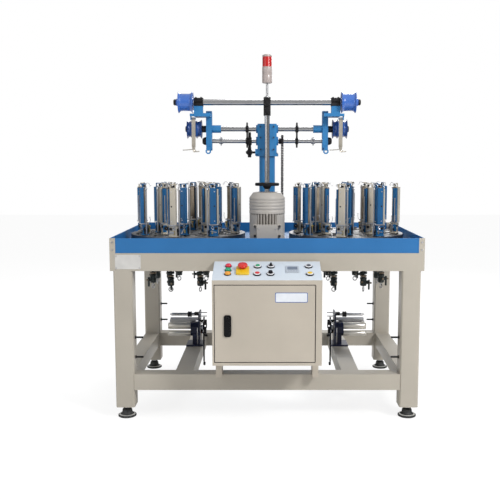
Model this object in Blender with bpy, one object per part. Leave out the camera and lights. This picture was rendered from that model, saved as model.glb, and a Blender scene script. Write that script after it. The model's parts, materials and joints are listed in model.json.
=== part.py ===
"""Rope braiding machine with two braiding heads of sixteen carriers each.

Metres, +Z up, the control cabinet faces -Y. X is measured from the middle of the machine, Y from the
front face of the frame and Z from the floor; the empty called machine then moves all of it so that the
origin lies under the middle of the whole machine. A piece that turns or slides has its own origin on its
axis. Left is -X.
"""

import math

import bmesh
import bpy
from mathutils import Matrix

# Clearances
GAP = 0.0003
LAP = 0.001
DOOR_GAP = 0.0008

# Frame
FRAME_WIDTH = 1.470
FRAME_DEPTH = 0.954
LEG_SIDE = 0.089
LEG_INSET = 0.0146
LEG_BOTTOM = 0.055
LEG_EDGE = 0.006
BEAM_TOP = 0.797
BEAM_HEIGHT = 0.084
BEAM_FLANGE = 0.045
BEAM_WEB = 0.006
RAIL_BOTTOM = 0.140
RAIL_TOP = 0.217
RAIL_DEPTH = 0.080
RAIL_INSET = 0.002
INNER_BEAM_X = 0.401
INNER_BEAM_WIDTH = 0.084
CORNER_WIDTH = 0.027
CORNER_THICK = 0.011
PIN_HEIGHTS = (0.291, 0.387)
PIN_LENGTH = 0.038
PIN_RADIUS = 0.004
FOOT_RADIUS = 0.044
FOOT_RIM = 0.009
FOOT_CONE = 0.018
FOOT_NECK = 0.022
FOOT_CROWN = 0.020
STUD_RADIUS = 0.009
NUT_RADIUS = 0.016
NUT_HEIGHT = 0.012

# Deck tray
DECK_BOTTOM = BEAM_TOP + GAP
DECK_THICK = 0.0177
DECK_TOP = DECK_BOTTOM + DECK_THICK
RIM_HEIGHT = 0.052
RIM_TOP = DECK_TOP + RIM_HEIGHT
RIM_WALL = 0.004
DECK_HOLE_MARGIN = 0.030

# Braiding heads
HEAD_X = 0.414
HEAD_Y = 0.475
GEARS = 8
GEAR_SPACING = 0.150
PLATE_RADIUS = 0.300
PLATE_THICK = 0.020
GUIDE_THICK = 0.016
SLOT_HALF = 0.009
HORN_RADIUS = 0.070
HORN_NOTCH = 0.010
HORN_RELIEF = 0.001
SPINDLE_RADIUS = 0.012
BORE_DEPTH = 0.016
BRAID_HOLE = 0.025
BOSS_RADIUS = 0.020
BOSS_DROP = 0.040
HANGER_LENGTH = 0.255
HANGER_ROD = 0.006
HANGER_EYE = 0.014
HANGER_EYE_LENGTH = 0.060
HANGER_TAPER = 0.008

# Carriers, heights above the guide plate
CARRIER_HEIGHT = 0.262
CARRIER_FOOT = 0.008
CARRIER_LIFT = 0.0015
CARRIER_WIDTH = 0.050
CARRIER_BASE = 0.044
BASE_REACH = 0.021
BASE_WAIST = 0.018
BASE_FLANGE = 0.008
CHANNEL_DEPTH = 0.016
CHANNEL_WALL = 0.003
BOBBIN_RADIUS = 0.018
BOBBIN_CORE = 0.013
BOBBIN_SHIFT = 0.006
BOBBIN_DROP = 0.005
BOBBIN_CONE = 0.009

# Take-up tower
COLUMN_Y = 0.480
COLUMN_SIDE = 0.081
COLUMN_EDGE = 0.006
COLUMN_FOOT_WIDTH = 0.120
COLUMN_FOOT_DEPTH = 0.104
COLUMN_FOOT_THICK = 0.012
COLUMN_FOOT_EDGE = 0.010
POST_Y = 0.395
POST_RADIUS = 0.013
POST_FLANGE_RADIUS = 0.030
POST_FLANGE_THICK = 0.010
TUBE_HEIGHT = 0.706
TUBE_Z = DECK_TOP + TUBE_HEIGHT
TUBE_RADIUS = 0.015
TUBE_HALF = 0.324
CLAMP_BELOW = 0.066
CLAMP_ABOVE = 0.024
CLAMP_WIDTH = 0.036
CLAMP_DEPTH = 0.048
CLAMP_EDGE = 0.004
CLAMP_BOTTOM = TUBE_Z - CLAMP_BELOW
CLAMP_TOP = TUBE_Z + CLAMP_ABOVE
END_CLAMP = 0.047
END_CLAMP_DEPTH = 0.042
END_CLAMP_BELOW = 0.019
END_CLAMP_ABOVE = 0.022
POLE_FOOT_RADIUS = 0.013
POLE_FOOT_HEIGHT = 0.006
POLE_RADIUS = 0.006
POLE_LENGTH = 0.071
LAMP_RADIUS = 0.025
LAMP_LENGTH = 0.081
LENS_RADIUS = 0.024
LENS_LENGTH = 0.061
LENS_EDGE = 0.004
LAMP_BASE = CLAMP_TOP + POLE_LENGTH
LENS_BOTTOM = LAMP_BASE + LAMP_LENGTH
LENS_TOP = LENS_BOTTOM + LENS_LENGTH

# Take-up shafts and their gears
SHAFT_DROP = 0.130
SHAFT_SPACING = 0.062
UPPER_Z = TUBE_Z - SHAFT_DROP
LOWER_Z = UPPER_Z - SHAFT_SPACING
UPPER_RADIUS = 0.0125
LOWER_RADIUS = 0.011
SPUR_TEETH = 16
CHANGE_TEETH = 22
PINION_TEETH = 12
MODULE = SHAFT_SPACING / SPUR_TEETH
SPUR_WIDTH = 0.008
CHANGE_WIDTH = 0.014
PINION_LAP = 0.002
LEFT_SPUR_X = -0.104
RIGHT_SPUR_X = 0.155
CHANGE_X = -0.091
PINION_TILT = math.radians(63)
PINION_DISTANCE = MODULE * (CHANGE_TEETH + PINION_TEETH) / 2
PINION_Y = COLUMN_Y - PINION_DISTANCE * math.cos(PINION_TILT)
PINION_Z = LOWER_Z - PINION_DISTANCE * math.sin(PINION_TILT)
PINION_HUB = 0.014
STUB_RADIUS = 0.006
SPROCKET_RADIUS = 0.025
SPROCKET_WIDTH = 0.008
COLLAR_X = 0.240
COLLAR_RADIUS = 0.024
COLLAR_WIDTH = 0.004
CONE_RADIUS = 0.0215
CONE_LENGTH = 0.021

# Gearbox housing
HOUSING_WIDTH = 0.099
HOUSING_DEPTH = 0.104
HOUSING_EDGE = 0.008
HOUSING_HEAD = 0.025
HOUSING_FLOOR = 0.0013
HOUSING_FLANGE_RADIUS = 0.060
HOUSING_FLANGE_THICK = 0.014
UPPER_BOSS = 0.022
LOWER_BOSS = 0.024
SHAFT_BOSS_PROUD = 0.008
PINION_BOSS = 0.019
PINION_BOSS_PROUD = 0.012
STUB_DEPTH = 0.0295
HOUSING_TOP = UPPER_Z + HOUSING_HEAD
COLUMN_TOP = PINION_Z - PINION_BOSS - HOUSING_FLOOR

# End brackets
BRACKET_INSET = 0.008
BRACKET_THICK = 0.029
BRACKET_DEPTH = 0.054
BRACKET_EDGE = 0.006
BRACKET_RISE = 0.016
BRACKET_DROP = 0.049
BRACKET_OUT = TUBE_HALF - BRACKET_INSET
BRACKET_IN = BRACKET_OUT - BRACKET_THICK
BRACKET_BOTTOM = LOWER_Z - BRACKET_DROP
SLEEVE_RADIUS = 0.021
SLEEVE_LENGTH = 0.047
SHELF_DROP = 0.0545
SHELF_THICK = 0.0165
SHELF_FRONT = 0.018
SHELF_BACK = 0.020
SHELF_TOP = TUBE_Z - SHELF_DROP
SHELF_BOTTOM = SHELF_TOP - SHELF_THICK
ARM_DEPTH = 0.026
STRUT_HEIGHT = 0.012
STRUT_INSET = 0.006
STRUT_LIFT = 0.004
LOOP_RADIUS = 0.015
LOOP_BORE = 0.008
LOOP_THICK = 0.008
LOOP_DROP = 0.005

# Stop levers
LEVER_SHIFT = 0.0047
LEVER_X = TUBE_HALF + END_CLAMP + LEVER_SHIFT
LEVER_Y = 0.400
LEVER_WIDTH = 0.017
LEVER_THICK = 0.005
LEVER_LENGTH = 0.150
LEVER_PIN = 0.003
LEVER_EYE = 0.006
LEVER_DROP = 0.010
LEVER_PIVOT_Z = SHELF_BOTTOM - LEVER_DROP
PIN_HEAD_RADIUS = 0.005
PIN_HEAD_LENGTH = 0.003
PIN_HEAD_GAP = 0.0005
EAR_THICK = 0.006
EAR_WIDTH = 0.014
EAR_GAP = 0.001
HOOK_LENGTH = 0.030
HOOK_DROP = 0.018
HOOK_THICK = 0.004
TAIL_LENGTH = 0.058
TAIL_DROP = 0.007
TAIL_THICK = 0.003

# Capstans and guide wheels
CAPSTAN_GAP = 0.024
CAPSTAN_LENGTH = 0.075
CAPSTAN_RADIUS = 0.050
CAPSTAN_GROOVES = 3
GROOVE_DEPTH = 0.008
CAPSTAN_IN = BRACKET_OUT + CAPSTAN_GAP
CAPSTAN_OUT = CAPSTAN_IN + CAPSTAN_LENGTH
SHAFT_COLLAR_RADIUS = 0.018
SHAFT_CAP_RADIUS = 0.016
SHAFT_CAP_LENGTH = 0.010
GUIDE_GAP = 0.0055
GUIDE_LENGTH = 0.0855
GUIDE_BODY = 0.043
GUIDE_FLANGE = 0.054
GUIDE_RIM = 0.005
GUIDE_IN = TUBE_HALF + END_CLAMP + GUIDE_GAP
GUIDE_OUT = GUIDE_IN + GUIDE_LENGTH
AXLE_RADIUS = 0.008
HUB_CAP_RADIUS = 0.016
HUB_CAP_LENGTH = 0.013

# Drive chain
CHAIN_X = 0.079
CHAIN_WIDTH = 0.014
CHAIN_THICK = 0.008
CHAIN_DROP = 0.015
CHAIN_CLEAR = 0.001
CHAIN_BOTTOM = DECK_TOP - CHAIN_DROP

# Motor, heights measured from the deck plate
DRIVE_SEAT = DECK_TOP + GAP
MOTOR_Y = 0.200
MOTOR_RADIUS = 0.0875
MOTOR_CORE = 0.076
MOTOR_NECK = 0.074
MOTOR_FINS = 12
FIN_CREST = 0.0865
FIN_BOTTOM = DRIVE_SEAT + 0.0347
FIN_HEIGHT = 0.122
MOTOR_FLANGE_WIDTH = 0.196
MOTOR_FLANGE_THICK = 0.014
MOTOR_FLANGE_EDGE = 0.030
TERMINAL_WIDTH = 0.090
TERMINAL_PROUD = 0.026
TERMINAL_ROOT = 0.060
TERMINAL_DROP = 0.018
TERMINAL_HEIGHT = 0.080
TERMINAL_EDGE = 0.006
COWL_BOTTOM = FIN_BOTTOM + FIN_HEIGHT
COWL_HEIGHT = 0.102
COWL_TOP = COWL_BOTTOM + COWL_HEIGHT
COWL_SHOULDER = 0.022
COWL_EDGE = 0.008
COWL_CROWN = 0.024
COWL_STEP = 0.010
COWL_HOLE = 0.012
COWL_WALL = 0.002
MOTOR_SHAFT = 0.008
SHAFT_SEAT = 0.050
HANDWHEEL_RISE = 0.038
HANDWHEEL_Z = COWL_TOP + HANDWHEEL_RISE
HANDWHEEL_RADIUS = 0.0585
HANDWHEEL_RIM = 0.012
HANDWHEEL_THICK = 0.010
HUB_RADIUS = 0.022
HUB_NECK = 0.014
HUB_DROP = 0.022
HUB_TAPER = 0.008
HUB_TOP = 0.004
SPOKES = 3
SPOKE_WIDTH = 0.012
SPOKE_THICK = 0.006

# Control cabinet
CABINET_WIDTH = 0.490
CABINET_REACH = 0.190
CABINET_BOTTOM = 0.312
CABINET_FRONT_TOP = 0.700
CABINET_BACK_TOP = 0.760
CONSOLE_BACK = 0.012
SHEET = 0.0025
CABINET_FLANGE = 0.012
BRACKET_X = 0.226
CABINET_BRACKET_WIDTH = 0.028
CABINET_BRACKET_REACH = 0.050
DOOR_LEFT = -0.2334
DOOR_RIGHT = 0.213
DOOR_BOTTOM = 0.329
DOOR_TOP = 0.676
DOOR_THICK = 0.016
LATCH_X = -0.176
LATCH_WIDTH = 0.034
LATCH_TOP = 0.543
LATCH_BOTTOM = 0.444
LATCH_BASE = 0.007
LATCH_EDGE = 0.005
LATCH_PROUD = 0.012
LATCH_LAP = 0.001
PADDLE_WIDTH = 0.020
PADDLE_BELOW = 0.008
PADDLE_ABOVE = 0.030
PADDLE_EDGE = 0.003
BEZEL_RADIUS = 0.015
BEZEL_HEIGHT = 0.006
PLUNGER_RADIUS = 0.0105
PLUNGER_DEPTH = 0.008
POCKET_DEPTH = 0.016
BUTTON_HEIGHT = 0.011
CAP_EDGE = 0.002
STOP_COLLAR_RADIUS = 0.030
STOP_COLLAR_HEIGHT = 0.004
MUSHROOM_RADIUS = 0.020
MUSHROOM_BOTTOM = 0.018
MUSHROOM_EDGE = 0.028
MUSHROOM_TOP = 0.033
KNOB_RADIUS = 0.0075
KNOB_TOP = 0.018
HANDLE_LENGTH = 0.018
HANDLE_WIDTH = 0.006
HANDLE_TOP = 0.017
PILOT_X = -0.177
PILOT_SHARES = (0.30, 0.50, 0.72)
PILOT_RADIUS = 0.006
PILOT_HEIGHT = 0.005
DISPLAY_X = 0.115
DISPLAY_SHARE = 0.54
DISPLAY_WIDTH = 0.058
DISPLAY_LENGTH = 0.068
DISPLAY_HEIGHT = 0.003

# Yarn feed units
FEED_Y = 0.595
FEED_HEIGHT = 0.105
FEED_ROLLER_Z = RAIL_TOP + FEED_HEIGHT
FEED_ROLLER_RADIUS = 0.0185
NIP_FORWARD = 0.020
NIP_DROP = 0.038
NIP_ROLLER_Y = FEED_Y - NIP_FORWARD
NIP_ROLLER_Z = FEED_ROLLER_Z - NIP_DROP
NIP_ROLLER_RADIUS = 0.013
CASE_IN = 0.376
CASE_LENGTH = 0.044
CASE_SHIFT = 0.007
CASE_DROP = 0.017
CASE_RADIUS = 0.036
CASE_HALF_DEPTH = 0.040
CASE_EDGE = 0.018
ROLLER_IN = CASE_IN + CASE_LENGTH
ROLLER_LENGTH = 0.126
ROLLER_OUT = ROLLER_IN + ROLLER_LENGTH
ROLLER_STUB = 0.021
CASE_Z = FEED_ROLLER_Z - CASE_DROP
FEED_BASE_IN = 0.026
FEED_BASE_OUT = 0.068
FEED_BASE_FRONT = 0.050
FEED_BASE_REAR = 0.070
FEED_BASE_THICK = 0.008
SIDE_PLATE_THICK = 0.008
SIDE_PLATE_INSET = 0.003
SIDE_PLATE_HEIGHT = 0.183
PEDESTAL_IN = 0.010
PEDESTAL_WIDTH = 0.024
PEDESTAL_INSET = 0.004
ROD_RADIUS = 0.008
ROD_BACK = 0.037
ROD_RISE = 0.0303
ROD_LENGTH = 0.156
BACK_ROD_RADIUS = 0.007
BACK_ROD_BACK = 0.055
BACK_ROD_RISE = 0.0535
BACK_ROD_LENGTH = 0.158
ROD_DISC_RADIUS = 0.014
ROD_DISC_START = 0.046
ROD_DISC_LENGTH = 0.022
GUIDE_PIN_RADIUS = 0.0025
GUIDE_PIN_LENGTH = 0.038
GUIDE_PINS = ((0.005, 0.053), (0.020, 0.070))
WEIGHT_LEVER_BACK = 0.015
WEIGHT_LEVER_OUT = 0.024
WEIGHT_LEVER_THICK = 0.006
WEIGHT_LEVER_WIDTH = 0.012
WEIGHT_LEVER_LENGTH = 0.206
WEIGHT_LEVER_HUB = 0.010
WEIGHT_RADIUS = 0.009
WEIGHT_LENGTH = 0.0115
SPOOL_RADIUS = 0.019
SPOOL_LENGTH = 0.018
SPOOL_BACK = 0.035
SPOOL_DROP = 0.032

TRACK_RADIUS = GEAR_SPACING / 2
RING_RADIUS = TRACK_RADIUS / math.sin(math.pi / GEARS)
FRONT_Y = -(FRAME_DEPTH - CABINET_REACH - LATCH_PROUD) / 2
BEAM_BOTTOM = BEAM_TOP - BEAM_HEIGHT
GUIDE_TOP = DRIVE_SEAT + PLATE_THICK + GUIDE_THICK
LEG_OUT = FRAME_WIDTH / 2 - LEG_INSET
CONSOLE_RISE = CABINET_BACK_TOP - CABINET_FRONT_TOP
CONSOLE_RUN = CABINET_REACH - CONSOLE_BACK
CONSOLE_SLOPE = math.atan2(CONSOLE_RISE, CONSOLE_RUN)
CONSOLE_LENGTH = math.hypot(CONSOLE_RISE, CONSOLE_RUN)
SIDES = (("left", -1), ("right", 1))

AXES = {
    "X": Matrix(((0, 0, 1), (1, 0, 0), (0, 1, 0))).to_4x4(),
    "Y": Matrix(((1, 0, 0), (0, 0, 1), (0, -1, 0))).to_4x4(),
    "Z": Matrix.Identity(4),
}


def solid_from(bm):
    """A scene object that holds the mesh bm, with its faces pointing out."""
    bmesh.ops.recalc_face_normals(bm, faces=bm.faces)
    mesh = bpy.data.meshes.new("shape")
    bm.to_mesh(mesh)
    bm.free()
    shape = bpy.data.objects.new("shape", mesh)
    bpy.context.scene.collection.objects.link(shape)
    return shape


def prism(outline, low, high, axis="Z"):
    """An outline drawn across an axis, extruded from low to high along it.

    The outline is (x, y) points across Z, (y, z) points across X and (x, -z) points across Y.
    """
    bm = bmesh.new()
    face = bm.faces.new([bm.verts.new((u, v, low)) for u, v in outline])
    top = bmesh.ops.extrude_face_region(bm, geom=[face])["geom"]
    moved = [item for item in top if isinstance(item, bmesh.types.BMVert)]
    bmesh.ops.translate(bm, verts=moved, vec=(0, 0, high - low))
    bmesh.ops.transform(bm, matrix=AXES[axis], verts=bm.verts)
    return solid_from(bm)


def box(x, y, z):
    """A block between two values on each axis."""
    x, y, z = sorted(x), sorted(y), sorted(z)
    return prism([(x[0], y[0]), (x[1], y[0]), (x[1], y[1]), (x[0], y[1])], z[0], z[1])


def bar(u, v, w, chamfer, axis="Z"):
    """A square bar along an axis with its four long edges chamfered, as rolled box section has."""
    u, v, w = sorted(u), sorted(v), sorted(w)
    outline = [
        (u[0] + chamfer, v[0]), (u[1] - chamfer, v[0]), (u[1], v[0] + chamfer), (u[1], v[1] - chamfer),
        (u[1] - chamfer, v[1]), (u[0] + chamfer, v[1]), (u[0], v[1] - chamfer), (u[0], v[0] + chamfer),
    ]
    return prism(outline, w[0], w[1], axis)


def circle(radius, sides, centre=(0.0, 0.0)):
    """The corners of a regular polygon, with a flat side facing each quarter turn."""
    turns = [(k + 0.5) * 2 * math.pi / sides for k in range(sides)]
    return [(centre[0] + radius * math.cos(t), centre[1] + radius * math.sin(t)) for t in turns]


def drum(radius, low, high, axis="Z", centre=(0.0, 0.0), sides=12):
    """A round bar along an axis, its centre given as in prism."""
    return prism(circle(radius, sides, centre), low, high, axis)


def running(radius, sides):
    """Corner radius of a bore with this many sides in which a round shaft turns freely."""
    return (radius + GAP) / math.cos(math.pi / sides)


def turned(profile, axis="Z", centre=(0.0, 0.0), sides=16, closed=False):
    """A solid of revolution from (radius, distance along the axis) points.

    A closed profile makes a ring with a bore; an open one has flat ends or ends on the axis.
    """
    bm = bmesh.new()
    rings = []
    for radius, along in profile:
        if radius == 0:
            rings.append([bm.verts.new((centre[0], centre[1], along))] * sides)
        else:
            rings.append([bm.verts.new((u, v, along)) for u, v in circle(radius, sides, centre)])
    pairs = list(zip(rings, rings[1:]))
    if closed:
        pairs.append((rings[-1], rings[0]))
    for lower, upper in pairs:
        for k in range(sides):
            corners = (lower[k], lower[k - 1], upper[k - 1], upper[k])
            bm.faces.new(list(dict.fromkeys(corners)))
    if not closed:
        for ring in (rings[0], rings[-1]):
            if len(set(ring)) > 2:
                bm.faces.new(ring)
    bmesh.ops.transform(bm, matrix=AXES[axis], verts=bm.verts)
    return solid_from(bm)


def gear_outline(teeth, phase, centre=(0.0, 0.0)):
    """Trapezoid teeth on the pitch circle of a gear, one tooth pointing along the phase angle."""
    pitch_radius = MODULE * teeth / 2
    root = pitch_radius - 1.25 * MODULE
    tip = pitch_radius + 0.85 * MODULE
    pitch = 2 * math.pi / teeth
    corners = ((-0.27, root), (-0.11, tip), (0.11, tip), (0.27, root))
    points = []
    for tooth in range(teeth):
        for share, radius in corners:
            angle = phase + (tooth + share) * pitch
            points.append((centre[0] + radius * math.cos(angle), centre[1] + radius * math.sin(angle)))
    return points


def combine(solids, cutters=()):
    """The solids joined into one, less the cutters."""
    base = solids[0]
    steps = [(other, "UNION") for other in solids[1:]] + [(cutter, "DIFFERENCE") for cutter in cutters]
    for other, operation in steps:
        boolean = base.modifiers.new(operation.lower(), "BOOLEAN")
        boolean.operation = operation
        boolean.solver = "EXACT"
        boolean.object = other
    graph = bpy.context.evaluated_depsgraph_get()
    mesh = bpy.data.meshes.new_from_object(base.evaluated_get(graph))
    base.modifiers.clear()
    base.data = mesh
    for other, _ in steps:
        bpy.data.objects.remove(other, do_unlink=True)
    return base


def finish(name, colour, roughness, metallic):
    """A Principled material."""
    material = bpy.data.materials.new(name)
    material.use_nodes = True
    shader = material.node_tree.nodes["Principled BSDF"]
    shader.inputs["Base Color"].default_value = (*colour, 1.0)
    shader.inputs["Roughness"].default_value = roughness
    shader.inputs["Metallic"].default_value = metallic
    material.diffuse_color = (*colour, 1.0)
    return material


BEIGE = ((0.62, 0.57, 0.47), 0.50, 0.0)
BLUE = ((0.02, 0.20, 0.55), 0.38, 0.0)
CARRIER_BLUE = ((0.03, 0.22, 0.50), 0.35, 0.2)
CARRIER_SILVER = ((0.66, 0.62, 0.55), 0.35, 0.5)
STEEL = ((0.55, 0.55, 0.56), 0.28, 1.0)
DARK = ((0.03, 0.03, 0.035), 0.45, 0.3)
NAVY = ((0.02, 0.04, 0.14), 0.40, 0.2)
MOTOR_GREY = ((0.48, 0.47, 0.44), 0.50, 0.1)
RED = ((0.72, 0.03, 0.03), 0.35, 0.0)
GREEN = ((0.02, 0.42, 0.14), 0.35, 0.0)
YELLOW = ((0.85, 0.62, 0.03), 0.35, 0.0)
WHITE = ((0.85, 0.85, 0.83), 0.40, 0.0)


def empty(name, location, parent=None, tilt=0.0):
    """A placing frame, tilted about X."""
    frame = bpy.data.objects.new(name, None)
    frame.location = location
    frame.rotation_euler = (tilt, 0, 0)
    frame.parent = parent
    bpy.context.scene.collection.objects.link(frame)
    return frame


def place(name, shape, colouring, location=(0, 0, 0), turn=0.0, parent=None, round_piece=True):
    """Names a finished shape, gives it its own material and places it."""
    shape.name = name
    shape.data.name = name
    shape.parent = parent or machine
    shape.location = location
    shape.rotation_euler = (0, 0, turn)
    shape.data.materials.clear()
    shape.data.materials.append(finish(name, *colouring))
    if round_piece:
        shape.data.shade_smooth()
        shape.data.set_sharp_from_angle(angle=math.radians(35))
    return shape


def make_frame():
    """Legs, lower rails, long inner beams, top ring of channel section, corner angles and creel pins."""
    half = FRAME_WIDTH / 2
    ring = combine(
        [box((-half, half), (0, FRAME_DEPTH), (BEAM_BOTTOM, BEAM_TOP))],
        [
            box((BEAM_FLANGE - half, half - BEAM_FLANGE), (BEAM_FLANGE, FRAME_DEPTH - BEAM_FLANGE),
                (BEAM_BOTTOM - LAP, BEAM_TOP + LAP)),
            box((BEAM_WEB - half, half - BEAM_WEB), (BEAM_WEB, FRAME_DEPTH - BEAM_WEB),
                (BEAM_BOTTOM + BEAM_WEB, BEAM_TOP - BEAM_WEB)),
        ],
    )
    solids = [ring]
    leg_in = LEG_OUT - LEG_SIDE
    for side in (-1, 1):
        for front in (0, FRAME_DEPTH - LEG_SIDE):
            solids.append(bar((side * leg_in, side * LEG_OUT), (front, front + LEG_SIDE),
                              (LEG_BOTTOM, BEAM_BOTTOM + LAP), LEG_EDGE))
            for height in PIN_HEIGHTS:
                ends = sorted((side * (leg_in + LAP), side * (leg_in - PIN_LENGTH)))
                solids.append(drum(PIN_RADIUS, *ends, "X", (front + LEG_SIDE / 2, height), 4))
        solids.append(box((side * (LEG_OUT - RAIL_DEPTH), side * (LEG_OUT - RAIL_INSET)),
                          (LEG_SIDE - LAP, FRAME_DEPTH - LEG_SIDE + LAP), (RAIL_BOTTOM, RAIL_TOP)))
        beam_in = side * (INNER_BEAM_X - INNER_BEAM_WIDTH / 2)
        beam_out = side * (INNER_BEAM_X + INNER_BEAM_WIDTH / 2)
        solids.append(box((beam_in, beam_out), (RAIL_DEPTH - LAP, FRAME_DEPTH - RAIL_DEPTH + LAP),
                          (RAIL_BOTTOM, RAIL_TOP)))
        for front in (0, FRAME_DEPTH - CORNER_THICK):
            solids.append(box((side * (half - CORNER_WIDTH), side * half), (front, front + CORNER_THICK),
                              (BEAM_TOP - LAP, RIM_TOP)))
    for front in (RAIL_INSET, FRAME_DEPTH - RAIL_DEPTH):
        solids.append(box((-leg_in - LAP, leg_in + LAP), (front, front + RAIL_DEPTH - RAIL_INSET),
                          (RAIL_BOTTOM, RAIL_TOP)))
    place("frame", combine(solids), BEIGE, round_piece=False)


def make_feet():
    """Levelling feet: a disc, a threaded stud and its lock nut below each leg."""
    nut = LEG_BOTTOM - GAP
    profile = [
        (FOOT_RADIUS, 0), (FOOT_RADIUS, FOOT_RIM), (FOOT_CROWN, FOOT_CONE), (STUD_RADIUS, FOOT_NECK),
        (STUD_RADIUS, nut - NUT_HEIGHT), (NUT_RADIUS, nut - NUT_HEIGHT), (NUT_RADIUS, nut),
    ]
    inset = LEG_OUT - LEG_SIDE / 2
    for side_name, side in SIDES:
        for end_name, y in (("front", LEG_SIDE / 2), ("rear", FRAME_DEPTH - LEG_SIDE / 2)):
            foot = turned(profile, sides=10)
            place(f"foot_{end_name}_{side_name}", foot, DARK, (side * inset, y, 0))


def make_tray():
    """Deck plate with an upright rim, open below each head and where the chain passes."""
    half = FRAME_WIDTH / 2
    cutters = [
        box((RIM_WALL - half, half - RIM_WALL), (RIM_WALL, FRAME_DEPTH - RIM_WALL),
            (DECK_TOP, RIM_TOP + LAP)),
        box((CHAIN_X - CHAIN_WIDTH / 2 - CHAIN_CLEAR, CHAIN_X + CHAIN_WIDTH / 2 + CHAIN_CLEAR),
            (COLUMN_Y - SPROCKET_RADIUS - CHAIN_THICK - 3 * CHAIN_CLEAR,
             COLUMN_Y + SPROCKET_RADIUS + CHAIN_THICK + 3 * CHAIN_CLEAR),
            (DECK_BOTTOM - LAP, DECK_TOP + LAP)),
    ]
    for _, side in SIDES:
        cutters.append(drum(RING_RADIUS + DECK_HOLE_MARGIN, DECK_BOTTOM - LAP, DECK_TOP + LAP, "Z",
                            (side * HEAD_X, HEAD_Y), 16))
        for front in (0, FRAME_DEPTH):
            cutters.append(box((side * (half - CORNER_WIDTH - GAP), side * (half + LAP)),
                               (front - CORNER_THICK - GAP, front + CORNER_THICK + GAP),
                               (DECK_BOTTOM - LAP, RIM_TOP + LAP)))
    tray = combine([box((-half, half), (0, FRAME_DEPTH), (DECK_BOTTOM, RIM_TOP))], cutters)
    place("deck_tray", tray, BLUE, round_piece=False)


def gear_places():
    """Angle and centre of each horn gear, from the centre of its head."""
    for k in range(GEARS):
        angle = (k + 0.5) * 2 * math.pi / GEARS
        yield k, angle, (RING_RADIUS * math.cos(angle), RING_RADIUS * math.sin(angle))


def make_track_plates():
    """Track plate with the slots that carry the carriers round, and the hangers below."""
    base_top = DRIVE_SEAT + PLATE_THICK
    for side_name, side in SIDES:
        solids = [drum(PLATE_RADIUS, DRIVE_SEAT, GUIDE_TOP, sides=24)]
        cutters = [drum(BRAID_HOLE, DRIVE_SEAT - LAP, GUIDE_TOP + LAP, sides=8)]
        for _, _, centre in gear_places():
            eye_top = DECK_TOP - HANGER_LENGTH + HANGER_EYE_LENGTH
            solids.append(turned([
                (HANGER_EYE, DECK_TOP - HANGER_LENGTH), (HANGER_EYE, eye_top),
                (HANGER_ROD, eye_top + HANGER_TAPER), (HANGER_ROD, DRIVE_SEAT - BOSS_DROP),
                (BOSS_RADIUS, DRIVE_SEAT + LAP),
            ], "Z", centre, 5))
            slot = running(TRACK_RADIUS + SLOT_HALF, 10)
            cutters.append(drum(slot, base_top, GUIDE_TOP + LAP, "Z", centre, 10))
            bore = running(SPINDLE_RADIUS, 6)
            cutters.append(drum(bore, base_top - BORE_DEPTH, base_top + LAP, "Z", centre, 6))
        place(f"track_plate_{side_name}", combine(solids, cutters), STEEL, (side * HEAD_X, HEAD_Y, 0))


def carrier(x, y):
    """One carrier standing on the guide plate: foot in the slot, base, channel and its bobbin."""
    foot_top = GUIDE_TOP + CARRIER_LIFT
    base_top = GUIDE_TOP + CARRIER_BASE
    top = GUIDE_TOP + CARRIER_HEIGHT
    half = CARRIER_WIDTH / 2
    back = x + CHANNEL_DEPTH
    wall = CHANNEL_WALL
    channel = [
        (back, y - half), (back, y + half), (x, y + half), (x, y + half - wall),
        (back - wall, y + half - wall), (back - wall, y - half + wall), (x, y - half + wall), (x, y - half),
    ]
    waist = x - BOBBIN_SHIFT / 2
    base = [
        (waist - BASE_WAIST / 2, -foot_top), (waist + BASE_WAIST / 2, -foot_top),
        (waist + BASE_WAIST / 2, BASE_FLANGE - base_top), (back, -base_top), (x - BASE_REACH, -base_top),
        (waist - BASE_WAIST / 2, BASE_FLANGE - base_top),
    ]
    flange = top - BOBBIN_DROP
    bobbin = [(BOBBIN_CORE, base_top - LAP), (BOBBIN_CORE, flange - BOBBIN_CONE), (BOBBIN_RADIUS, flange)]
    return [
        drum(CARRIER_FOOT, GUIDE_TOP - GUIDE_THICK + 2 * LAP, foot_top + LAP, "Z", (x, y), 4),
        prism(base, y - half, y + half, "Y"),
        prism(channel, base_top - LAP, top),
        turned(bobbin, "Z", (x - BOBBIN_SHIFT, y), 5),
    ]


def horn_gear_shape():
    """Notched horn plate on its spindle, with the two carriers that it drives in half of its notches."""
    base = DRIVE_SEAT + PLATE_THICK
    reach = TRACK_RADIUS * math.sqrt(0.5)
    solids = [
        drum(HORN_RADIUS, base + GAP, GUIDE_TOP - HORN_RELIEF, sides=12),
        drum(SPINDLE_RADIUS, base - BORE_DEPTH + GAP, base + LAP, sides=6),
    ]
    solids += carrier(reach, reach) + carrier(-reach, reach)
    cutters = [
        drum(HORN_NOTCH, base, GUIDE_TOP, "Z", (reach, -reach), 6),
        drum(HORN_NOTCH, base, GUIDE_TOP, "Z", (-reach, -reach), 6),
    ]
    return combine(solids, cutters)


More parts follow.
